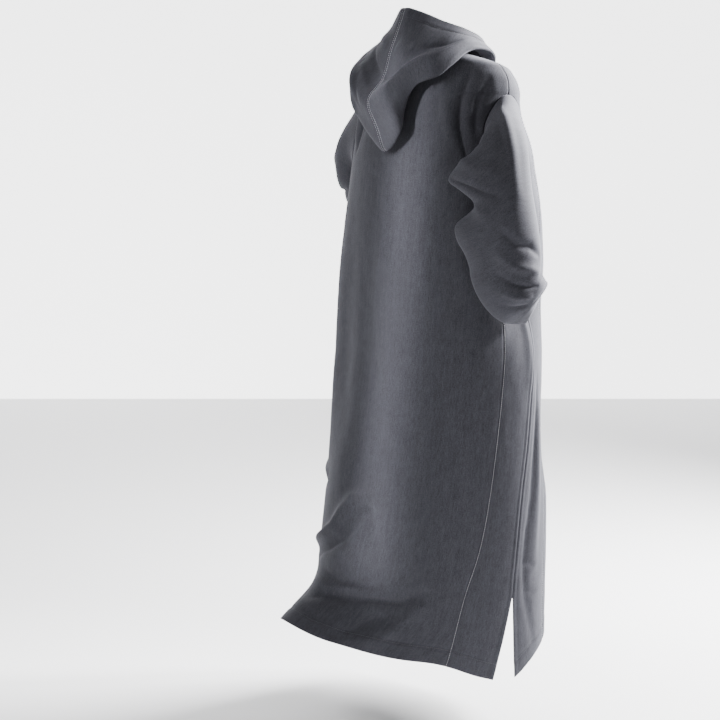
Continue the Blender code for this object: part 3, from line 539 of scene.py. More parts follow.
def curve_through(xs, ys, x, period=None):
    """Smooth cubic through the points (xs, ys), read at x; xs increase."""
    xs = np.asarray(xs, float)
    ys = np.asarray(ys, float)
    x = np.asarray(x, float)
    if period:
        xs = np.concatenate([xs[-2:] - period, xs, xs[:2] + period])
        ys = np.concatenate([ys[-2:], ys, ys[:2]])
        x = np.mod(x, period)
    slopes = np.gradient(ys, xs)
    k = np.clip(np.searchsorted(xs, x, side="right") - 1, 0, len(xs) - 2)
    step = xs[k + 1] - xs[k]
    u = np.clip((x - xs[k]) / step, 0.0, 1.0)
    blend = u * u * (3.0 - 2.0 * u)
    ease_out = u * (1.0 - u) ** 2 * step * slopes[k]
    ease_in = u * u * (u - 1.0) * step * slopes[k + 1]
    return ys[k] * (1.0 - blend) + ys[k + 1] * blend + ease_out + ease_in


def by_level(rows, name, level):
    """A table's column read at a level; levels fall down the table."""
    return curve_through(-column(rows, "level"), column(rows, name), -np.asarray(level, float))


def space_curve(spots, along):
    """Points of a table of spots, read at along."""
    xs = column(spots, "along")
    return np.stack([curve_through(xs, column(spots, axis), along) for axis in "xyz"], -1)


def smoothstep(low, high, x):
    u = np.clip((np.asarray(x, float) - low) / (high - low), 0.0, 1.0)
    return u * u * (3.0 - 2.0 * u)


def wrapped(turn):
    """The same turn, between -0.5 and 0.5."""
    return (np.asarray(turn, float) + 0.5) % 1.0 - 0.5


def unit(vectors):
    return vectors / np.linalg.norm(vectors, axis=-1, keepdims=True)


# ---------------------------------------------------------------- the body surface
def neck_dip(turn, level):
    """The neckline's drop in front, with a point at the throat; it fades down the chest."""
    frontness = (1.0 - np.cos(2.0 * np.pi * turn)) / 2.0
    point = np.exp(-(wrapped(turn - 0.5) / NECK_POINT_WIDTH) ** 2)
    drop = NECK_DIP * frontness ** NECK_DIP_POWER + NECK_POINT * point
    return -drop * smoothstep(NECK_DIP_END, 0.0, level)


def body_point(turn, level):
    """Point of the body surface; the arrays turn and level have one shape."""
    turn, level = np.broadcast_arrays(np.asarray(turn, float), np.asarray(level, float))
    sine = np.sin(2.0 * np.pi * turn)
    cosine = np.cos(2.0 * np.pi * turn)
    right = by_level(BODY_RINGS, "right", level)
    left = by_level(BODY_RINGS, "left", level)
    back = by_level(BODY_RINGS, "back", level)
    front = by_level(BODY_RINGS, "front", level)
    x = -np.where(sine >= 0.0, right, left) * sine
    y = np.where(cosine >= 0.0, back, front) * cosine

    for dent in DENTS:
        across = wrapped(turn - dent.turn) / dent.width
        along = (level - dent.level) / dent.height
        depth = dent.depth * np.exp(-across ** 2 - along ** 2)
        x = x + depth * sine
        y = y - depth * cosine

    for fold in LONG_FOLDS:
        along = (level - fold.level) / (fold.low_level - fold.level)
        middle = fold.turn + (fold.low_turn - fold.turn) * along
        out = fold.height * np.exp(-(wrapped(turn - middle) / fold.width) ** 2)
        out = out * np.sin(np.pi * np.clip(along, 0.0, 1.0))
        x = x - out * sine
        y = y + out * cosine

    below = level < LEG_PUSH[0].level
    reach = np.where(below, by_level(LEG_PUSH, "reach", level), 0.0)
    reach = reach * np.exp(-(wrapped(turn - LEG_TURN) / LEG_WIDTH) ** 2)
    x = x + LEG_SIDEWAYS * reach
    y = y + reach

    rise = curve_through(column(HEM_RISES, "turn"), column(HEM_RISES, "rise"), turn, period=1.0)
    share = np.clip((HEM_RISE_START - level) / (HEM_RISE_START - HEM_LEVEL), 0.0, 1.0)
    z = level + rise * share ** HEM_RISE_POWER + neck_dip(turn, level)
    return np.stack([x, y, z], -1)


def turn_of_gap(turn, level, distance):
    """How many turns a short distance round the body is."""
    step = 0.0005
    ahead = body_point(turn + step, level)
    behind = body_point(turn - step, level)
    return distance * 2.0 * step / np.linalg.norm(ahead - behind, axis=-1)


def body_normals(turn, level):
    """Outward normals of the body surface."""
    step = 0.002
    round_way = body_point(turn + step, level) - body_point(turn - step, level)
    down_way = body_point(turn, level - step) - body_point(turn, level + step)
    return unit(np.cross(down_way, round_way))


# samples of the body surface, from just under the neck to below the cuffs
CLEAR_COLUMNS = 144
CLEAR_ROWS = 124
CLEAR_TOP = -0.002
CLEAR_BOTTOM = -0.74
CLEAR_TURNS, CLEAR_LEVELS = np.meshgrid(np.linspace(0.0, 1.0, CLEAR_COLUMNS + 1)[:-1],
                                        np.linspace(CLEAR_TOP, CLEAR_BOTTOM, CLEAR_ROWS),
                                        indexing="ij")
CLEAR_PASSES = 3
CLEAR_POINTS = body_point(CLEAR_TURNS, CLEAR_LEVELS).reshape(-1, 3)
CLEAR_NORMALS = body_normals(CLEAR_TURNS, CLEAR_LEVELS).reshape(-1, 3)
CLEAR_TREE = kdtree.KDTree(len(CLEAR_POINTS))
for number, sample in enumerate(CLEAR_POINTS):
    CLEAR_TREE.insert(sample, number)
CLEAR_TREE.balance()


def clear_of_body(points, distance):
    """Moves points that lie closer to the body surface than distance straight out of it."""
    moved = points.reshape(-1, 3).copy()
    wanted = np.broadcast_to(distance, points.shape[:-1]).reshape(-1)
    for _ in range(CLEAR_PASSES):
        for i in range(len(moved)):
            nearest = CLEAR_TREE.find(moved[i])[1]
            normal = CLEAR_NORMALS[nearest]
            height = normal @ (moved[i] - CLEAR_POINTS[nearest])
            moved[i] += normal * max(0.0, wanted[i] - height)
    return moved.reshape(points.shape)


# ---------------------------------------------------------------- edges of the panels
def armhole_rows(start, end):
    """The armhole's turn and level at the sleeve's columns from start to end round it."""
    first = round(start * SLEEVE_COLUMNS)
    last = round(end * SLEEVE_COLUMNS)
    around = np.linspace(first, last, abs(last - first) + 1) / SLEEVE_COLUMNS
    place = np.arange(len(ARMHOLE)) / len(ARMHOLE)
    turn = curve_through(place, column(ARMHOLE, "turn"), around, period=1.0)
    level = curve_through(place, column(ARMHOLE, "level"), around, period=1.0)
    return turn, level


def panel_edge(levels, seams, armhole, gore_column):
    """Side edge of the back or front panel: shoulder seam, armhole, gore seam."""
    armhole_turn, armhole_level = armhole
    on_armhole = np.interp(-levels, -armhole_level, armhole_turn)
    on_gore = gore_edge(levels, seams, gore_column, armhole_turn[-1], armhole_level[-1])
    return np.where(levels < armhole_level[-1], on_gore, on_armhole)


def gore_edge(levels, seams, gore_column, top_turn, top_level):
    """A gore seam; just below the armhole it leads over from the armhole's own place."""
    seam = by_level(seams, gore_column, levels)
    share = np.clip((levels - SKIRT_TOP) / (top_level - SKIRT_TOP), 0.0, 1.0)
    return seam + share * (top_turn - seam)


# ---------------------------------------------------------------- sleeves
def direction(heading, dip):
    """Unit vector at a compass heading from +X, dipping below the level, in degrees."""
    h = math.radians(heading)
    d = math.radians(dip)
    return np.array([math.cos(d) * math.cos(h), math.cos(d) * math.sin(h), -math.sin(d)])


def turned(vector, old, new):
    """The vector carried from one facing to the next with no twist."""
    axis = np.cross(old, new)
    size = np.linalg.norm(axis)
    if size < 1e-9:
        return vector
    axis = axis / size
    angle = math.atan2(size, float(old @ new))
    along_axis = axis * (axis @ vector) * (1.0 - math.cos(angle))
    return vector * math.cos(angle) + np.cross(axis, vector) * math.sin(angle) + along_axis


def mirror_x(points, mirrored):
    return points * np.array([-1.0, 1.0, 1.0]) if mirrored else points


def sleeve_rings(cuts, roll, mirrored):
    """The armhole and each cut as a ring of points, in right-arm coordinates."""
    turn, level = armhole_rows(0.0, 1.0 - 1.0 / SLEEVE_COLUMNS)
    turn = -turn if mirrored else turn
    around = np.arange(SLEEVE_COLUMNS) / SLEEVE_COLUMNS
    loop = mirror_x(body_point(turn, level), mirrored)
    outward = mirror_x(body_normals(turn, level), mirrored)
    underness = np.sqrt((1.0 - np.cos(2.0 * np.pi * around)) / 2.0)
    gap = SLEEVE_TOP_GAP + (SLEEVE_UNDER_GAP - SLEEVE_TOP_GAP) * underness
    lift = SLEEVE_UNDER_LIFT * underness
    to_middle = unit(loop.mean(axis=0) - loop)
    rings = [loop + to_middle * gap[:, None] + outward * lift[:, None]]

    facing = np.array([-1.0, 0.0, 0.0])
    side = np.array([0.0, -math.sin(math.radians(roll)), math.cos(math.radians(roll))])
    angle = 2.0 * np.pi * around + math.radians(roll)
    for cut in cuts:
        new_facing = direction(cut.heading, cut.dip)
        side = turned(side, facing, new_facing)
        facing = new_facing
        tall = np.cross(facing, side)
        wide = np.where(np.cos(angle) >= 0.0, cut.outer, cut.inner) * np.cos(angle)
        high = cut.tall * np.sin(angle)
        centre = np.array([cut.x, cut.y, cut.z])
        rings.append(centre + wide[:, None] * side + high[:, None] * tall)
    return np.array(rings)


def sleeve_grid(cuts, roll, mirrored):
    """Rows run down the sleeve; columns go round it, without the closing column."""
    rings = sleeve_rings(cuts, roll, mirrored)
    steps = np.linalg.norm(np.diff(rings.mean(axis=1), axis=0), axis=1)
    run = np.concatenate([[0.0], np.cumsum(steps)]) / steps.sum()
    along = np.linspace(0.0, 1.0, SLEEVE_ROWS + 1)
    grid = np.empty((len(along), SLEEVE_COLUMNS, 3))
    for j in range(SLEEVE_COLUMNS):
        for axis in range(3):
            grid[:, j, axis] = curve_through(run, rings[:, j, axis], along)
    grid = mirror_x(grid, mirrored)
    for _ in range(EASING_PASSES):
        from_armhole = np.linalg.norm(grid - grid[0], axis=-1)
        distance = np.minimum(CLEAR_OF_BODY, CLEARANCE_RISE * from_armhole)
        grid[1:] = clear_of_body(grid[1:], distance[1:])
        round_way = np.roll(grid, 1, axis=1) + np.roll(grid, -1, axis=1)
        down_way = grid[:EASED_ROWS] + grid[2:EASED_ROWS + 2]
        eased = (round_way[1:EASED_ROWS + 1] + down_way) / 4.0
        share = EASING * np.linspace(1.0, 0.0, EASED_ROWS)[:, None, None]
        grid[1:EASED_ROWS + 1] += share * (eased - grid[1:EASED_ROWS + 1])
    return grid


# ---------------------------------------------------------------- hood
def hood_layer(start_edge, end_edge, seam, along, share):
    """Points between two edges, bent to follow the centre seam where along nears 1."""
    straight = start_edge + (end_edge - start_edge) * share
    seam_points = space_curve(seam, np.array([0.0, share, 1.0]))
    straight_seam = seam_points[0] + (seam_points[2] - seam_points[0]) * share
    return straight + (seam_points[1] - straight_seam) * (along ** SEAM_PULL_POWER)[:, None]


def hood_grid(fold_spots, face_spots, side_sign):
    """One half of the hood: columns from the throat to the centre seam, rows as HOOD_ROWS."""
    along = np.linspace(0.0, 1.0, HOOD_COLUMNS + 1) ** COLUMN_POWER
    fold = clear_of_body(space_curve(fold_spots, along), HOOD_CLEAR + FOLD_RADIUS)
    face = clear_of_body(space_curve(face_spots, along), HOOD_CLEAR + 3.0 * FOLD_RADIUS)
    neck = body_point(side_sign * HOOD_THROAT_TURN * (1.0 - along), np.zeros_like(along))
    foot = neck - unit(neck * np.array([1.0, 1.0, 0.0])) * (WALL / 2.0 + NECK_GAP)
    stand = foot + np.array([0.0, 0.0, STAND])

    length = np.linalg.norm(face - fold, axis=1)
    radius = np.minimum(FOLD_RADIUS, FOLD_LENGTH_SHARE * length)[:, None]
    outer = hood_layer(fold, face, HOOD_TOP_SEAM, along, OUTER_CHECK_SHARE)
    under = hood_layer(stand, fold, HOOD_BACK_SEAM, along, UNDER_CHECK_SHARE)
    into_hood = unit((outer + under) / 2.0 - fold)
    across = outer - under
    across = unit(across - into_hood * np.sum(across * into_hood, axis=1)[:, None])
    under_edge = fold + (into_hood - across) * radius
    outer_edge = fold + (into_hood + across) * radius
    puff_scale = np.minimum(length / FULL_PUFF_LENGTH, 1.0) * (1.0 - along ** PUFF_END_POWER)

    rows = [foot]
    for row in HOOD_ROWS:
        if row.layer == "under":
            points = hood_layer(stand, under_edge, HOOD_BACK_SEAM, along, row.share)
            points = clear_of_body(points, HOOD_CLEAR)
        elif row.layer == "fold":
            points = fold
        else:
            points = hood_layer(outer_edge, face, HOOD_TOP_SEAM, along, row.share)
            points = points + across * (row.puff * puff_scale)[:, None]
            points = clear_of_body(points, HOOD_CLEAR + 2.0 * FOLD_RADIUS)
        rows.append(points)
    return np.array(rows)


def join_at_centre(right, left):
    """Makes the two hood halves run straight across their centre seam, a gap apart."""
    across = unit(left[:, -2] - right[:, -2])
    seam = (left[:, -1] + right[:, -1]) / 2.0
    halves = []
    for half, sign in ((right, -1.0), (left, 1.0)):
        strip = seam + sign * across * SEAM_STRIP
        edge = seam + sign * across * (SEAM_GAP / 2.0)
        halves.append(np.concatenate([half[:, :-1], strip[:, None], edge[:, None]], axis=1))
    return halves


# ---------------------------------------------------------------- cloth shells
Sheet = namedtuple("Sheet", "piece grid normals")
BODY_ROUND = 1.35         # metres round the body for one turn, on average


def grid_normals(grid, closed=False):
    """Unit normals of a grid of points, from its neighbours along both ways."""
    if closed:
        padded_grid = np.concatenate([grid[:, -2:], grid, grid[:, :2]], axis=1)
        across = np.gradient(padded_grid, axis=1)[:, 2:-2]
    else:
        across = np.gradient(grid, axis=1)
    return unit(np.cross(np.gradient(grid, axis=0), across))


def run_along(grid, axis):
    """Distance in metres along the grid's lines, from their starts."""
    steps = np.linalg.norm(np.diff(grid, axis=axis), axis=-1)
    start = np.zeros_like(np.take(steps, [0], axis=axis))
    return np.cumsum(np.concatenate([start, steps], axis=axis), axis=axis)


def rims_of(rows, columns, closed):
    """Loops of (row, column) places round the open edges, each with the cloth on its right."""
    if closed:
        around = np.arange(columns)
        return [(np.zeros(columns, int), around), (np.full(columns, rows - 1), around[::-1])]
    i = np.concatenate([np.zeros(columns - 1), np.arange(rows - 1),
                        np.full(columns - 1, rows - 1), np.arange(rows - 1, 0, -1)])
    j = np.concatenate([np.arange(columns - 1), np.full(rows - 1, columns - 1),
                        np.arange(columns - 1, 0, -1), np.zeros(rows - 1)])
    return [(i.astype(int), j.astype(int))]


def cloth_shell(name, grid, normals, material, closed=False):
    """A sheet of cloth with its own thickness round a grid, and a rounded rim on its edges."""
    rows, columns = grid.shape[:2]
    half = CLOTH_THICKNESS / 2.0
    points = [(grid + normals * half).reshape(-1, 3), (grid - normals * half).reshape(-1, 3)]
    index = np.arange(rows * columns).reshape(rows, columns)
    if closed:
        index = np.concatenate([index, index[:, :1]], axis=1)
    quads = np.stack([index[:-1, :-1], index[:-1, 1:], index[1:, 1:], index[1:, :-1]], -1)
    quads = quads.reshape(-1, 4)
    if facing_inwards(grid, normals):
        quads = quads[:, ::-1]
    under = quads[:, ::-1] + rows * columns
    faces = [quads, under]

    u, v = run_along(grid, 1), run_along(grid, 0)
    u = u - u[:, columns // 2][:, None]
    places = np.stack([u, v], -1).reshape(-1, 2)
    uv = [places, places]
    count = 2 * rows * columns
    for i, j in rims_of(rows, columns, closed):
        inner_i = np.clip(i, 1, rows - 2)
        inner_j = j if closed else np.clip(j, 1, columns - 2)
        away = unit(grid[i, j] - grid[inner_i, inner_j])
        points.append(grid[i, j] + away * half * RIM_ROUND)
        uv.append(places[index[i, j]])
        top = np.append(index[i, j], index[i[0], j[0]])
        ring = np.append(np.arange(len(i)), 0) + count
        count += len(i)
        for a, b in ((top, ring), (ring, top + rows * columns)):
            strip = np.stack([a[:-1], b[:-1], b[1:], a[1:]], -1)
            faces.append(strip[:, ::-1] if facing_inwards(grid, normals) else strip)
    faces = np.concatenate(faces)
    uv = np.concatenate(uv)[faces]
    if closed:
        length = np.linalg.norm(np.roll(grid, -1, axis=1) - grid, axis=-1).sum(axis=1).max()
        gap = uv[..., 0].max(axis=1, keepdims=True) - uv[..., 0]
        uv[..., 0] += np.where(gap > length / 2.0, length, 0.0)

    mesh = bpy.data.meshes.new(name)
    mesh.from_pydata(np.concatenate(points).tolist(), [], faces.tolist())
    layer = mesh.uv_layers.new(name="Cloth")
    layer.data.foreach_set("uv", uv.ravel())
    mesh.shade_smooth()
    mesh.materials.append(material)
    piece = bpy.data.objects.new(name, mesh)
    bpy.context.scene.collection.objects.link(piece)
    return Sheet(piece, grid, normals)


def facing_inwards(grid, normals):
    """True if a grid's rows and columns, taken as they come, would face the sheet inwards."""
    made = np.cross(grid[0, 1] - grid[0, 0], grid[1, 1] - grid[0, 1])
    return made @ normals[0, 0] < 0.0


def near_edge(distance, reach):
    """1 at an edge, falling to 0 at a distance from it."""
    return 1.0 - smoothstep(0.0, reach, distance)


def hem_relief(distance, depth):
    """A turned hem: a little proud below its stitch line, which is pulled in."""
    turned_part = 1.0 - smoothstep(depth - HEM_EDGE, depth + HEM_EDGE, distance)
    groove = np.exp(-((distance - depth) / HEM_GROOVE_WIDTH) ** 2)
    return HEM_PROUD * turned_part - HEM_GROOVE_DEPTH * groove


def line_at(sheet, axis, from_end, distance, lift=0.0):
    """Points over a sheet along a line at one distance from an edge of its grid."""
    top = sheet.grid + sheet.normals * (CLOTH_THICKNESS / 2.0 + lift)
    if axis == 1:
        top = top.transpose(1, 0, 2)
    if from_end:
        top = top[::-1]
    run = run_along(top, 0)
    line = []
    for k in range(top.shape[1]):
        line.append([np.interp(distance, run[:, k], top[:, k, a]) for a in range(3)])
    return np.array(line)


# ---------------------------------------------------------------- body panels
def hem_stretch(turns):
    """Metres along the cloth for one metre of level, at the hem."""
    step = 0.02
    hem = body_point(turns, np.full_like(turns, HEM_LEVEL))
    above = body_point(turns, np.full_like(turns, HEM_LEVEL + step))
    return np.linalg.norm(above - hem, axis=-1) / step


def body_sheet_grid(turns, levels, sinks):
    """Panel points with folds, waviness and the hem; sinks is where seams pull the cloth in."""
    points = body_point(turns, levels)
    normals = body_normals(turns, levels)
    relief = fold_relief(BODY_FOLDS, turns, levels, BODY_ROUND, 1.0, wraps=True)
    across = points[..., 0] + WAVE_SLANT * points[..., 1]
    relief = relief + waves(across, levels, BODY_WAVES)
    relief = relief + waves(across, levels, BODY_RIPPLES)
    relief = relief * smoothstep(0.0, NECK_FADE, -levels)
    relief = relief + hem_relief((levels - HEM_LEVEL) * hem_stretch(turns), HEM_DEPTH)
    relief = relief - SEAM_SINK * sinks
    grid = points + normals * relief[..., None]
    made = grid_normals(grid)
    return grid, np.where(np.sum(made * normals) < 0.0, -made, made)


def fine_levels(top, bottom, kept):
    """Levels from top to bottom about GRID_STEP apart, with the kept ones exactly."""
    stops = sorted({float(top), float(bottom), *map(float, kept)}, reverse=True)
    levels = [stops[0]]
    for high, low in zip(stops[:-1], stops[1:]):
        count = max(1, round((high - low) / GRID_STEP))
        levels.extend(np.linspace(high, low, count + 1)[1:])
    return np.array(levels)


def fine_shares(count):
    """Places across a panel, closer together at its two edges."""
    even = np.linspace(0.0, 1.0, count + 1)
    return even - EDGE_CROWDING * np.sin(2.0 * np.pi * even)


def panel_sheet(name, low_edge, high_edge, levels):
    low = low_edge + turn_of_gap(low_edge, levels, SEAM_GAP / 2.0)
    high = high_edge - turn_of_gap(high_edge, levels, SEAM_GAP / 2.0)
    turns = low[:, None] + (high - low)[:, None] * fine_shares(PANEL_FINE_COLUMNS)[None, :]
    sinks = near_edge(BODY_ROUND * (turns - low[:, None]), SEAM_ROUND)
    sinks = sinks + near_edge(BODY_ROUND * (high[:, None] - turns), SEAM_ROUND)
    grid_levels = np.repeat(levels[:, None], turns.shape[1], axis=1)
    grid, normals = body_sheet_grid(turns, grid_levels, sinks)
    return cloth_shell(name, grid, normals, FLEECE)


def body_panel(name, armhole, gore_column, in_front):
    """The back or front panel, from the neckline to the hem."""
    levels = fine_levels(0.0, HEM_LEVEL, armhole[1])
    right = panel_edge(levels, SEAMS_RIGHT, armhole, gore_column)
    left = panel_edge(levels, SEAMS_LEFT, armhole, gore_column)
    if in_front:
        return panel_sheet(name, right, 1.0 - left, levels)
    return panel_sheet(name, -left, right, levels)


def gore_sheet(name, seams, inner_column, side_sign, mirrored):
    """A side gore: its top edge follows the armhole, its side edge opens as the slit."""
    edge_turn, edge_level = armhole_rows(UNDER_START, UNDER_END)
    top_end = 0 if side_sign < 0.0 else -1
    levels = fine_levels(edge_level[top_end], HEM_LEVEL, (SLIT_LEVEL,))
    inner = gore_edge(levels, seams, inner_column, edge_turn[top_end], edge_level[top_end])
    side = by_level(seams, "side", levels)
    slit_share = np.clip((SLIT_LEVEL - levels) / (SLIT_LEVEL - HEM_LEVEL), 0.0, 1.0)
    side = side + side_sign * SLIT_OPENING * slit_share
    inner = inner - side_sign * turn_of_gap(inner, levels, SEAM_GAP / 2.0)
    side = side + side_sign * turn_of_gap(side, levels, SEAM_GAP / 2.0)
    turns = inner[:, None] + (side - inner)[:, None] * fine_shares(GORE_FINE_COLUMNS)[None, :]
    top = np.interp(turns[0], edge_turn, edge_level)
    lowered = near_edge(levels[0] - levels, GORE_TOP_REACH)[:, None] * (top - levels[0])[None, :]
    grid_levels = levels[:, None] + lowered
    to_inner = BODY_ROUND * np.abs(turns - inner[:, None])
    to_side = BODY_ROUND * np.abs(side[:, None] - turns)
    closed_part = smoothstep(SLIT_LEVEL - SLIT_BLEND, SLIT_LEVEL + SLIT_BLEND, levels)[:, None]
    sinks = near_edge(to_inner, SEAM_ROUND) + closed_part * near_edge(to_side, SEAM_ROUND)
    past_band = np.maximum(to_side - SLIT_BAND, 0.0)
    sinks = sinks - SLIT_BAND_RISE * near_edge(past_band, SLIT_BAND_EDGE)
    sinks = sinks + np.exp(-((to_side - SLIT_BAND) / SLIT_GROOVE_WIDTH) ** 2)
    grid, normals = body_sheet_grid(-turns if mirrored else turns, grid_levels, sinks)
    return cloth_shell(name, grid, normals, FLEECE)


# ---------------------------------------------------------------- sleeves and hood
def refined(control, row_count, column_count, closed=False):
    """A fine grid through every point of a coarse one, by smooth curves both ways."""
    steps = np.linalg.norm(np.diff(control, axis=0), axis=-1).mean(axis=1)
    row_at = np.concatenate([[0.0], np.cumsum(steps)]) / steps.sum()
    new_rows = np.linspace(0.0, 1.0, row_count + 1)
    tall = np.empty((row_count + 1, control.shape[1], 3))
    for j in range(control.shape[1]):
        for axis in range(3):
            tall[:, j, axis] = curve_through(row_at, control[:, j, axis], new_rows)
    if closed:
        column_at = np.arange(control.shape[1]) / control.shape[1]
        new_columns = np.arange(column_count) / column_count
    else:
        steps = np.linalg.norm(np.diff(control, axis=1), axis=-1).mean(axis=0)
        column_at = np.concatenate([[0.0], np.cumsum(steps)]) / steps.sum()
        new_columns = np.linspace(0.0, 1.0, column_count + 1)
    fine = np.empty((row_count + 1, len(new_columns), 3))
    for i in range(row_count + 1):
        for axis in range(3):
            fine[i, :, axis] = curve_through(column_at, tall[i, :, axis], new_columns,
                                             period=1.0 if closed else None)
    return fine, new_rows, new_columns


def sleeve_sheet(name, cuts, roll, mirrored, folds):
    control = sleeve_grid(cuts, roll, mirrored)
    fine, along, around = refined(control, SLEEVE_FINE_ROWS, SLEEVE_FINE_COLUMNS, closed=True)
    to_underarm = SLEEVE_FINE_COLUMNS // 2
    fine = np.roll(fine, to_underarm, axis=1)
    around = np.roll(around, to_underarm)
    normals = grid_normals(fine, closed=True)
    if np.sum(normals * (fine - fine.mean(axis=1, keepdims=True))) < 0.0:
        normals = -normals
    across, down = np.meshgrid(around, along)
    relief = fold_relief(folds, across, down, SLEEVE_ROUND, SLEEVE_LENGTH, wraps=True)
    relief = relief + waves(fine[..., 0] + fine[..., 1], fine[..., 2], SLEEVE_WAVES)
    from_armhole = run_along(fine, 0)
    to_cuff = from_armhole[-1:] - from_armhole
    relief = relief * smoothstep(0.0, ARMHOLE_FADE, from_armhole)
    relief = relief + hem_relief(to_cuff, CUFF_DEPTH)
    relief = relief - SEAM_SINK * near_edge(from_armhole, SEAM_ROUND)
    underarm = SLEEVE_ROUND * np.abs(wrapped(across - 0.5))
    relief = relief - SEAM_SINK * np.exp(-(underarm / UNDERARM_GROOVE_WIDTH) ** 2)
    grid = fine + normals * relief[..., None]
    least = np.minimum(FOLDED_CLEARANCE, FOLDED_CLEARANCE_RISE * from_armhole)
    grid[1:] = clear_of_body(grid[1:], least[1:])
    made = grid_normals(grid, closed=True)
    normals = np.where(np.sum(made * normals) < 0.0, -made, made)
    return cloth_shell(name, grid, normals, SLEEVE_FLEECE, closed=True)


INSIDE_BELOW_HOOD = np.array([0.0, 0.0, -0.25])  # the hood's face edge looks away from here


def hood_sheets():
    """Both halves of the hood, from the neck seam over the lower fold to the face edge."""
    right = hood_grid(FOLD_RIGHT, FACE_EDGE_RIGHT, 1.0)
    left = hood_grid(FOLD_LEFT, FACE_EDGE_LEFT, -1.0)
    sheets = []
    for name, control, folds in zip(("hood_right_cloth", "hood_left_cloth"),
                                    join_at_centre(right, left),
                                    (RIGHT_HOOD_FOLDS, LEFT_HOOD_FOLDS)):
        fine, up, along = refined(control, HOOD_FINE_ROWS, HOOD_FINE_COLUMNS)
        normals = grid_normals(fine)
        if np.sum(normals[-1] * (fine[-1] - INSIDE_BELOW_HOOD)) < 0.0:
            normals = -normals
        across, rising = np.meshgrid(along, up)
        relief = fold_relief(folds, across, rising, HOOD_ACROSS, HOOD_UP)
        relief = relief + waves(fine[..., 0] - fine[..., 1], fine[..., 2], HOOD_WAVES)
        to_seam = run_along(fine, 1)
        to_seam = to_seam[:, -1:] - to_seam
        to_face = run_along(fine, 0)
        to_face = to_face[-1:] - to_face
        relief = relief * smoothstep(0.0, HOOD_SEAM_FADE, to_seam)
        relief = relief * smoothstep(0.0, HOOD_NECK_FADE, rising)
        relief = relief - SEAM_SINK * near_edge(to_seam, SEAM_ROUND)
        relief = relief + HOOD_HEM_SHARE * hem_relief(to_face, HOOD_FACING)
        grid = fine + normals * relief[..., None]
        made = grid_normals(grid)
        made = np.where(np.sum(made * normals) < 0.0, -made, made)
        sheets.append(cloth_shell(name, grid, made, FLEECE))
    return sheets


# ---------------------------------------------------------------- materials
class Wire:
    """A socket in a shader tree; arithmetic on it adds Math nodes."""

    def __init__(self, tree, socket):
        self.tree = tree
        self.socket = socket

    def math(self, operation, *others):
        return self.tree.node("ShaderNodeMath", {"operation": operation}, self, *others)

    def __add__(self, other):
        return self.math("ADD", other)

    __radd__ = __add__

    def __mul__(self, other):
        return self.math("MULTIPLY", other)

    def __sub__(self, other):
        return self.math("SUBTRACT", other)

    def limited(self):
        return self.math("MAXIMUM", 0.0).math("MINIMUM", 1.0)


class Tree:
    """A material's node tree; node() adds any node and returns its first output."""

    def __init__(self, name):
        self.material = bpy.data.materials.new(name)
        self.material.use_nodes = True
        self.nodes = self.material.node_tree.nodes
        self.links = self.material.node_tree.links
        self.shader = self.nodes["Principled BSDF"]

    def node(self, kind, settings=None, *values, output=0, **named):
        made = self.nodes.new(kind)
        for key, value in (settings or {}).items():
            setattr(made, key, value)
        for place, value in enumerate(values):
            self.feed(made.inputs[place], value)
        for key, value in named.items():
            self.feed(made.inputs[key.replace("_", " ")], value)
        return Wire(self, made.outputs[output])

    def feed(self, socket, value):
        if isinstance(value, Wire):
            self.links.new(value.socket, socket)
        else:
            socket.default_value = value

    def mix(self, factor, first, second):
        made = self.nodes.new("ShaderNodeMix")
        made.data_type = "RGBA"
        color_inputs = [s for s in made.inputs if s.type == "RGBA"]
        self.feed(made.inputs[0], factor)
        self.feed(color_inputs[0], first)
        self.feed(color_inputs[1], second)
        return Wire(self, [s for s in made.outputs if s.type == "RGBA"][0])

    def noise(self, vector, scale, detail, roughness=0.5):
        return self.node("ShaderNodeTexNoise", {}, Vector=vector, Scale=scale, Detail=detail,
                         Roughness=roughness)

    def stretched(self, vector, across, down):
        return self.node("ShaderNodeMapping", {}, Vector=vector, Scale=(across, down, 1.0))


def brushed_fleece(name, warp_across, warp_down):
    """Brushed cloth: fine streaks along the warp, a soft mottle, and a short nap."""
    tree = Tree(name)
    uv = tree.node("ShaderNodeUVMap", {"uv_map": "Cloth"})
    streaks = tree.noise(tree.stretched(uv, 900.0 * warp_across, 900.0 * warp_down), 1.0, 3.0, 0.6)
    wide = tree.noise(tree.stretched(uv, 160.0 * warp_across, 160.0 * warp_down), 1.0, 2.0)
    mottle = tree.noise(uv, 38.0, 4.0, 0.6)
    nap = tree.noise(uv, 1500.0, 2.0, 0.6)
    tufts = tree.noise(uv, 420.0, 3.0, 0.65)

    shade = (streaks - 0.5) * 1.3 + (wide - 0.5) * 0.5 + (mottle - 0.5) * 0.5 + (tufts - 0.5) * 1.6
    shade = (shade + 0.5).limited()
    color = tree.mix(shade, CLOTH_DARK, CLOTH_LIGHT)
    tree.feed(tree.shader.inputs["Base Color"], color)
    tree.feed(tree.shader.inputs["Roughness"], (0.86 + (mottle - 0.5) * 0.12).limited())
    tree.feed(tree.shader.inputs["Specular IOR Level"], 0.18)
    tree.feed(tree.shader.inputs["Sheen Weight"], 0.10)
    tree.feed(tree.shader.inputs["Sheen Roughness"], 0.50)
    tree.feed(tree.shader.inputs["Sheen Tint"], (0.86, 0.87, 1.0, 1.0))
    height = nap * 0.45 + streaks * 0.55 + tufts * 0.6
    bump = tree.node("ShaderNodeBump", {}, Strength=0.42, Distance=0.0009, Height=height)
    tree.feed(tree.shader.inputs["Normal"], bump)
    return tree.material


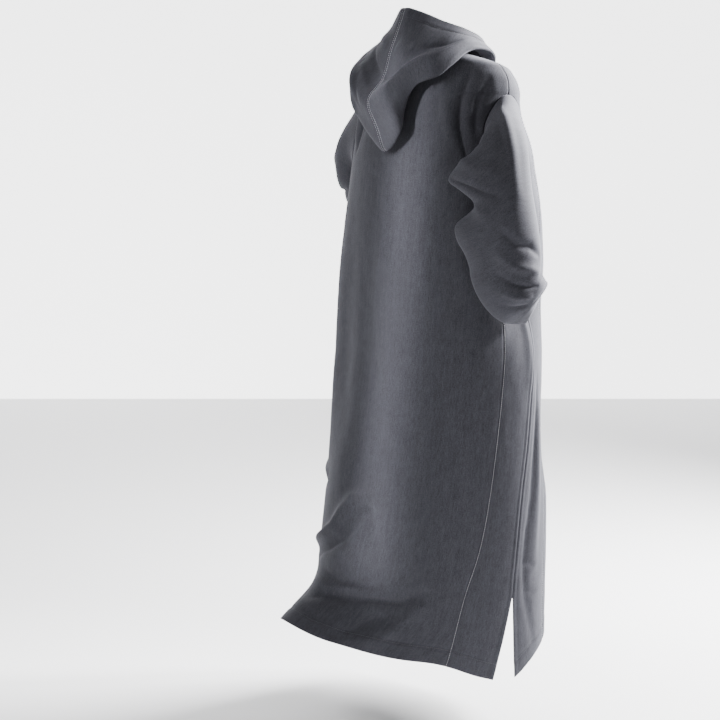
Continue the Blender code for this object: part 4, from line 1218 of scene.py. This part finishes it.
def spun_thread(name, color):
    """Thread with a faint twist along it."""
    tree = Tree(name)
    place = tree.node("ShaderNodeTexCoord", {}, output=3)
    grain = tree.noise(place, 2600.0, 2.0)
    tree.feed(tree.shader.inputs["Base Color"],
              tree.mix(grain, tuple(c * 0.75 for c in color[:3]) + (1.0,), color))
    tree.feed(tree.shader.inputs["Roughness"], 0.55)
    bump = tree.node("ShaderNodeBump", {}, Strength=0.3, Distance=0.0002, Height=grain)
    tree.feed(tree.shader.inputs["Normal"], bump)
    return tree.material


CLOTH_DARK = (0.017, 0.017, 0.0215, 1.0)
CLOTH_LIGHT = (0.052, 0.052, 0.063, 1.0)
FLEECE = brushed_fleece("charcoal_fleece", 1.0, 0.08)
SLEEVE_FLEECE = brushed_fleece("charcoal_fleece_crosswise", 0.16, 1.0)
LIGHT_THREAD = spun_thread("light_grey_thread", (0.42, 0.42, 0.45, 1.0))
DARK_THREAD = spun_thread("charcoal_thread", (0.05, 0.05, 0.06, 1.0))


# ---------------------------------------------------------------- stitches
def link_nodes(tree, kind, settings, **sockets):
    """Adds a node, sets it up, and feeds the sockets named with _ for each space."""
    node = tree.nodes.new(kind)
    for key, value in settings.items():
        setattr(node, key, value)
    for key, value in sockets.items():
        socket = node.inputs[key.replace("_", " ")]
        if isinstance(value, bpy.types.NodeSocket):
            tree.links.new(value, socket)
        else:
            socket.default_value = value
    return node


def stitch_tree():
    """Lays small rounded stitches end to end along every chain of edges."""
    tree = bpy.data.node_groups.new("Row of stitches", "GeometryNodeTree")
    tree.interface.new_socket("Geometry", in_out="INPUT", socket_type="NodeSocketGeometry")
    for name, kind in (("Pitch", "NodeSocketFloat"), ("Length", "NodeSocketFloat"),
                       ("Thickness", "NodeSocketFloat"), ("Unevenness", "NodeSocketFloat"),
                       ("Seed", "NodeSocketInt"), ("Thread", "NodeSocketMaterial")):
        tree.interface.new_socket(name, in_out="INPUT", socket_type=kind)
    tree.interface.new_socket("Geometry", in_out="OUTPUT", socket_type="NodeSocketGeometry")
    given = tree.nodes.new("NodeGroupInput").outputs

    curve = link_nodes(tree, "GeometryNodeMeshToCurve", {}, Mesh=given["Geometry"])
    row = link_nodes(tree, "GeometryNodeResampleCurve", {"mode": "LENGTH"},
                     Curve=curve.outputs[0], Length=given["Pitch"])
    tangent = tree.nodes.new("GeometryNodeInputTangent")
    facing = link_nodes(tree, "FunctionNodeAlignRotationToVector", {"axis": "X"},
                        Vector=tangent.outputs[0])
    ball = link_nodes(tree, "GeometryNodeMeshUVSphere", {}, Segments=8, Rings=4, Radius=0.5)
    size = link_nodes(tree, "ShaderNodeCombineXYZ", {}, X=given["Length"], Y=given["Thickness"],
                      Z=given["Thickness"])
    stitch = link_nodes(tree, "GeometryNodeTransform", {}, Geometry=ball.outputs[0],
                        Scale=size.outputs[0])
    least = link_nodes(tree, "ShaderNodeMath", {"operation": "SUBTRACT"})
    least.inputs[0].default_value = 1.0
    tree.links.new(given["Unevenness"], least.inputs[1])
    uneven = link_nodes(tree, "FunctionNodeRandomValue", {"data_type": "FLOAT"},
                        Seed=given["Seed"])
    tree.links.new(least.outputs[0], uneven.inputs[2])
    uneven.inputs[3].default_value = 1.0
    placed = link_nodes(tree, "GeometryNodeInstanceOnPoints", {}, Points=row.outputs[0],
                        Instance=stitch.outputs[0], Rotation=facing.outputs[0],
                        Scale=uneven.outputs[1])
    real = link_nodes(tree, "GeometryNodeRealizeInstances", {}, Geometry=placed.outputs[0])
    coloured = link_nodes(tree, "GeometryNodeSetMaterial", {}, Geometry=real.outputs[0],
                          Material=given["Thread"])
    result = tree.nodes.new("NodeGroupOutput")
    tree.links.new(coloured.outputs[0], result.inputs["Geometry"])
    return tree


def stitching(name, tree, lines, thread, seed):
    """One piece of thread work: stitches along each line of points."""
    points = np.concatenate(lines)
    edges = []
    start = 0
    for line in lines:
        edges.extend((start + k, start + k + 1) for k in range(len(line) - 1))
        start += len(line)
    mesh = bpy.data.meshes.new(name + "_paths")
    mesh.from_pydata(points.tolist(), edges, [])
    path = bpy.data.objects.new(name + "_paths", mesh)
    bpy.context.scene.collection.objects.link(path)
    modifier = path.modifiers.new("Stitches", "NODES")
    modifier.node_group = tree
    values = {"Pitch": STITCH_PITCH, "Length": STITCH_LENGTH, "Thickness": STITCH_THICKNESS,
              "Unevenness": STITCH_UNEVENNESS, "Seed": seed, "Thread": thread}
    for item in tree.interface.items_tree:
        if item.item_type == "SOCKET" and item.name in values:
            modifier[item.identifier] = values[item.name]
    graph = bpy.context.evaluated_depsgraph_get()
    made = bpy.data.meshes.new_from_object(path.evaluated_get(graph), preserve_all_data_layers=True,
                                           depsgraph=graph)
    bpy.data.objects.remove(path, do_unlink=True)
    made.name = name
    made.shade_smooth()
    piece = bpy.data.objects.new(name, made)
    bpy.context.scene.collection.objects.link(piece)
    return piece


# ---------------------------------------------------------------- the robe
back = body_panel("back_panel_cloth", armhole_rows(0.0, UNDER_START), "back_gore", False)
front = body_panel("front_panel_cloth", armhole_rows(1.0, UNDER_END), "front_gore", True)
gore_back_right = gore_sheet("gore_back_right_cloth", SEAMS_RIGHT, "back_gore", -1.0, False)
gore_front_right = gore_sheet("gore_front_right_cloth", SEAMS_RIGHT, "front_gore", 1.0, False)
gore_back_left = gore_sheet("gore_back_left_cloth", SEAMS_LEFT, "back_gore", -1.0, True)
gore_front_left = gore_sheet("gore_front_left_cloth", SEAMS_LEFT, "front_gore", 1.0, True)
sleeve_right = sleeve_sheet("sleeve_right_cloth", RIGHT_SLEEVE, RIGHT_SLEEVE_ROLL, False,
                            RIGHT_SLEEVE_FOLDS)
sleeve_left = sleeve_sheet("sleeve_left_cloth", LEFT_SLEEVE, LEFT_SLEEVE_ROLL, True,
                           LEFT_SLEEVE_FOLDS)
hood_right, hood_left = hood_sheets()

LIFT = 0.0002             # stitches lie this far off the cloth
light_lines = []
for gore in (gore_back_right, gore_back_left, gore_front_right, gore_front_left):
    light_lines.append(line_at(gore, 1, False, TOPSTITCH_IN, LIFT))
for half in (hood_right, hood_left):
    light_lines.append(line_at(half, 1, True, TOPSTITCH_IN, LIFT))
dark_lines = []
for panel in (back, front, gore_back_right, gore_back_left, gore_front_right, gore_front_left):
    dark_lines.append(line_at(panel, 0, True, HEM_DEPTH, LIFT))
for sleeve in (sleeve_right, sleeve_left):
    line = line_at(sleeve, 0, True, CUFF_DEPTH, LIFT)
    dark_lines.append(np.concatenate([line, line[:1]]))
for half in (hood_right, hood_left):
    dark_lines.append(line_at(half, 0, True, HOOD_FACING, LIFT))
tree = stitch_tree()
light_stitches = stitching("light_topstitching", tree, light_lines, LIGHT_THREAD, 3)
dark_stitches = stitching("hem_stitching", tree, dark_lines, DARK_THREAD, 5)

# ---------------------------------------------------------------- which piece is what
Cloth = namedtuple("Cloth", "sheet node width length area held rests_on")
CLOTHS = (
    Cloth(back, "back_panel", 0.56, 1.42, 0.675, "hung", ()),
    Cloth(front, "front_panel", 0.56, 1.40, 0.695, "hung", ()),
    Cloth(gore_back_right, "gore_back_right", 0.14, 1.14, 0.088, "hung", ("back_panel_cloth",)),
    Cloth(gore_front_right, "gore_front_right", 0.14, 1.12, 0.085, "hung", ("front_panel_cloth",)),
    Cloth(gore_back_left, "gore_back_left", 0.14, 1.12, 0.100, "hung", ("back_panel_cloth",)),
    Cloth(gore_front_left, "gore_front_left", 0.14, 1.12, 0.074, "hung", ("front_panel_cloth",)),
    Cloth(sleeve_right, "sleeve_right", 0.46, 0.52, 0.197, "hung", ("back_panel_cloth",)),
    Cloth(sleeve_left, "sleeve_left", 0.44, 0.50, 0.178, "hung", ("back_panel_cloth",)),
    Cloth(hood_right, "hood_right", 0.31, 0.40, 0.075, "draped", ("back_panel_cloth",)),
    Cloth(hood_left, "hood_left", 0.31, 0.42, 0.085, "draped", ("back_panel_cloth",)),
)
for cloth in CLOTHS:
    piece = cloth.sheet.piece
    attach(piece, "root")
    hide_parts(cloth.node)
for piece in (light_stitches, dark_stitches):
    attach(piece, "root")

# ---------------------------------------------------------------- studio
FLOOR_LEVEL = -1.50
FLOOR_SIZE = 24.0
BACKDROP_SIZE = 9.0
BACKDROP_PLACE = (2.6, -3.1, FLOOR_LEVEL + 3.0)
BACKDROP_FACING = Vector((-0.643, 0.766, 0.0))
PALE = (0.88, 0.88, 0.89, 1.0)
WHITE = (1.0, 1.0, 1.0, 1.0)
BACKDROP_GLOW = 3.2
AMBIENT = 0.34


def plain_material(name, color):
    tree = Tree(name)
    tree.feed(tree.shader.inputs["Base Color"], color)
    tree.feed(tree.shader.inputs["Roughness"], 0.85)
    return tree.material


bpy.ops.mesh.primitive_plane_add(size=FLOOR_SIZE, location=(0.0, 0.0, FLOOR_LEVEL))
floor = bpy.context.object
floor.name = "studio_floor"
floor.data.materials.append(plain_material("pale_floor", PALE))

# A bright curtain of light behind the robe, as in a white studio.
bpy.ops.mesh.primitive_plane_add(size=BACKDROP_SIZE)
backdrop = bpy.context.object
backdrop.name = "bright_backdrop"
backdrop.location = BACKDROP_PLACE
backdrop.rotation_euler = BACKDROP_FACING.to_track_quat("Z", "Y").to_euler()
glow = Tree("backdrop_glow")
glow.feed(glow.shader.inputs["Base Color"], PALE)
glow.feed(glow.shader.inputs["Emission Color"], WHITE)
glow.feed(glow.shader.inputs["Emission Strength"], BACKDROP_GLOW)
backdrop.data.materials.append(glow.material)

# Camera: behind the wearer and to the right, level with the neck, looking a little down.
CAMERA_PLACE = Vector((-2.756, 3.562, 0.0))
CAMERA_WAY = Vector((0.6351, -0.7569, -0.1538))
camera_data = bpy.data.cameras.new("camera")
camera_data.lens = 100.0
camera = bpy.data.objects.new("camera", camera_data)
camera.location = CAMERA_PLACE
camera.rotation_euler = CAMERA_WAY.to_track_quat("-Z", "Y").to_euler()
bpy.context.scene.collection.objects.link(camera)
bpy.context.scene.camera = camera

# Lights are placed by how far they stand round from the camera's side, in degrees to the
# right, how high they are, and how large. spread is the width of the beam in degrees.
ROBE = Vector((-0.03, 0.10, -0.62))
ARM = Vector((-0.30, 0.06, -0.24))
Lamp = namedtuple("Lamp", "name round_right rise distance width height spread energy aim")
LAMPS = (
    Lamp("back_strip", -44.0, 15.0, 2.6, 0.05, 1.15, 4.0, 0.82, ROBE),
    Lamp("high_softbox", -66.0, 44.0, 3.0, 1.0, 1.0, 120.0, 22.0, ROBE),
    Lamp("arm_softbox", 106.0, 26.0, 2.4, 0.4, 0.4, 45.0, 34.0, ARM),
    Lamp("side_softbox", 124.0, 26.0, 2.6, 1.2, 1.2, 150.0, 400.0, ROBE),
)
towards_camera = math.atan2(CAMERA_PLACE.y, CAMERA_PLACE.x)
for lamp in LAMPS:
    light = bpy.data.lights.new(lamp.name, "AREA")
    light.shape = "RECTANGLE"
    light.size = lamp.width
    light.size_y = lamp.height
    light.spread = math.radians(lamp.spread)
    light.energy = lamp.energy
    heading = towards_camera + math.radians(lamp.round_right)
    rise = math.radians(lamp.rise)
    way = Vector((math.cos(rise) * math.cos(heading), math.cos(rise) * math.sin(heading),
                  math.sin(rise)))
    place = lamp.aim + lamp.distance * way
    holder = bpy.data.objects.new(lamp.name, light)
    holder.location = place
    holder.rotation_euler = (lamp.aim - place).to_track_quat("-Z", "Y").to_euler()
    bpy.context.scene.collection.objects.link(holder)

world = bpy.data.worlds.new("studio")
world.use_nodes = True
sky = world.node_tree.nodes["Background"]
sky.inputs["Color"].default_value = WHITE
sky.inputs["Strength"].default_value = AMBIENT
bpy.context.scene.world = world
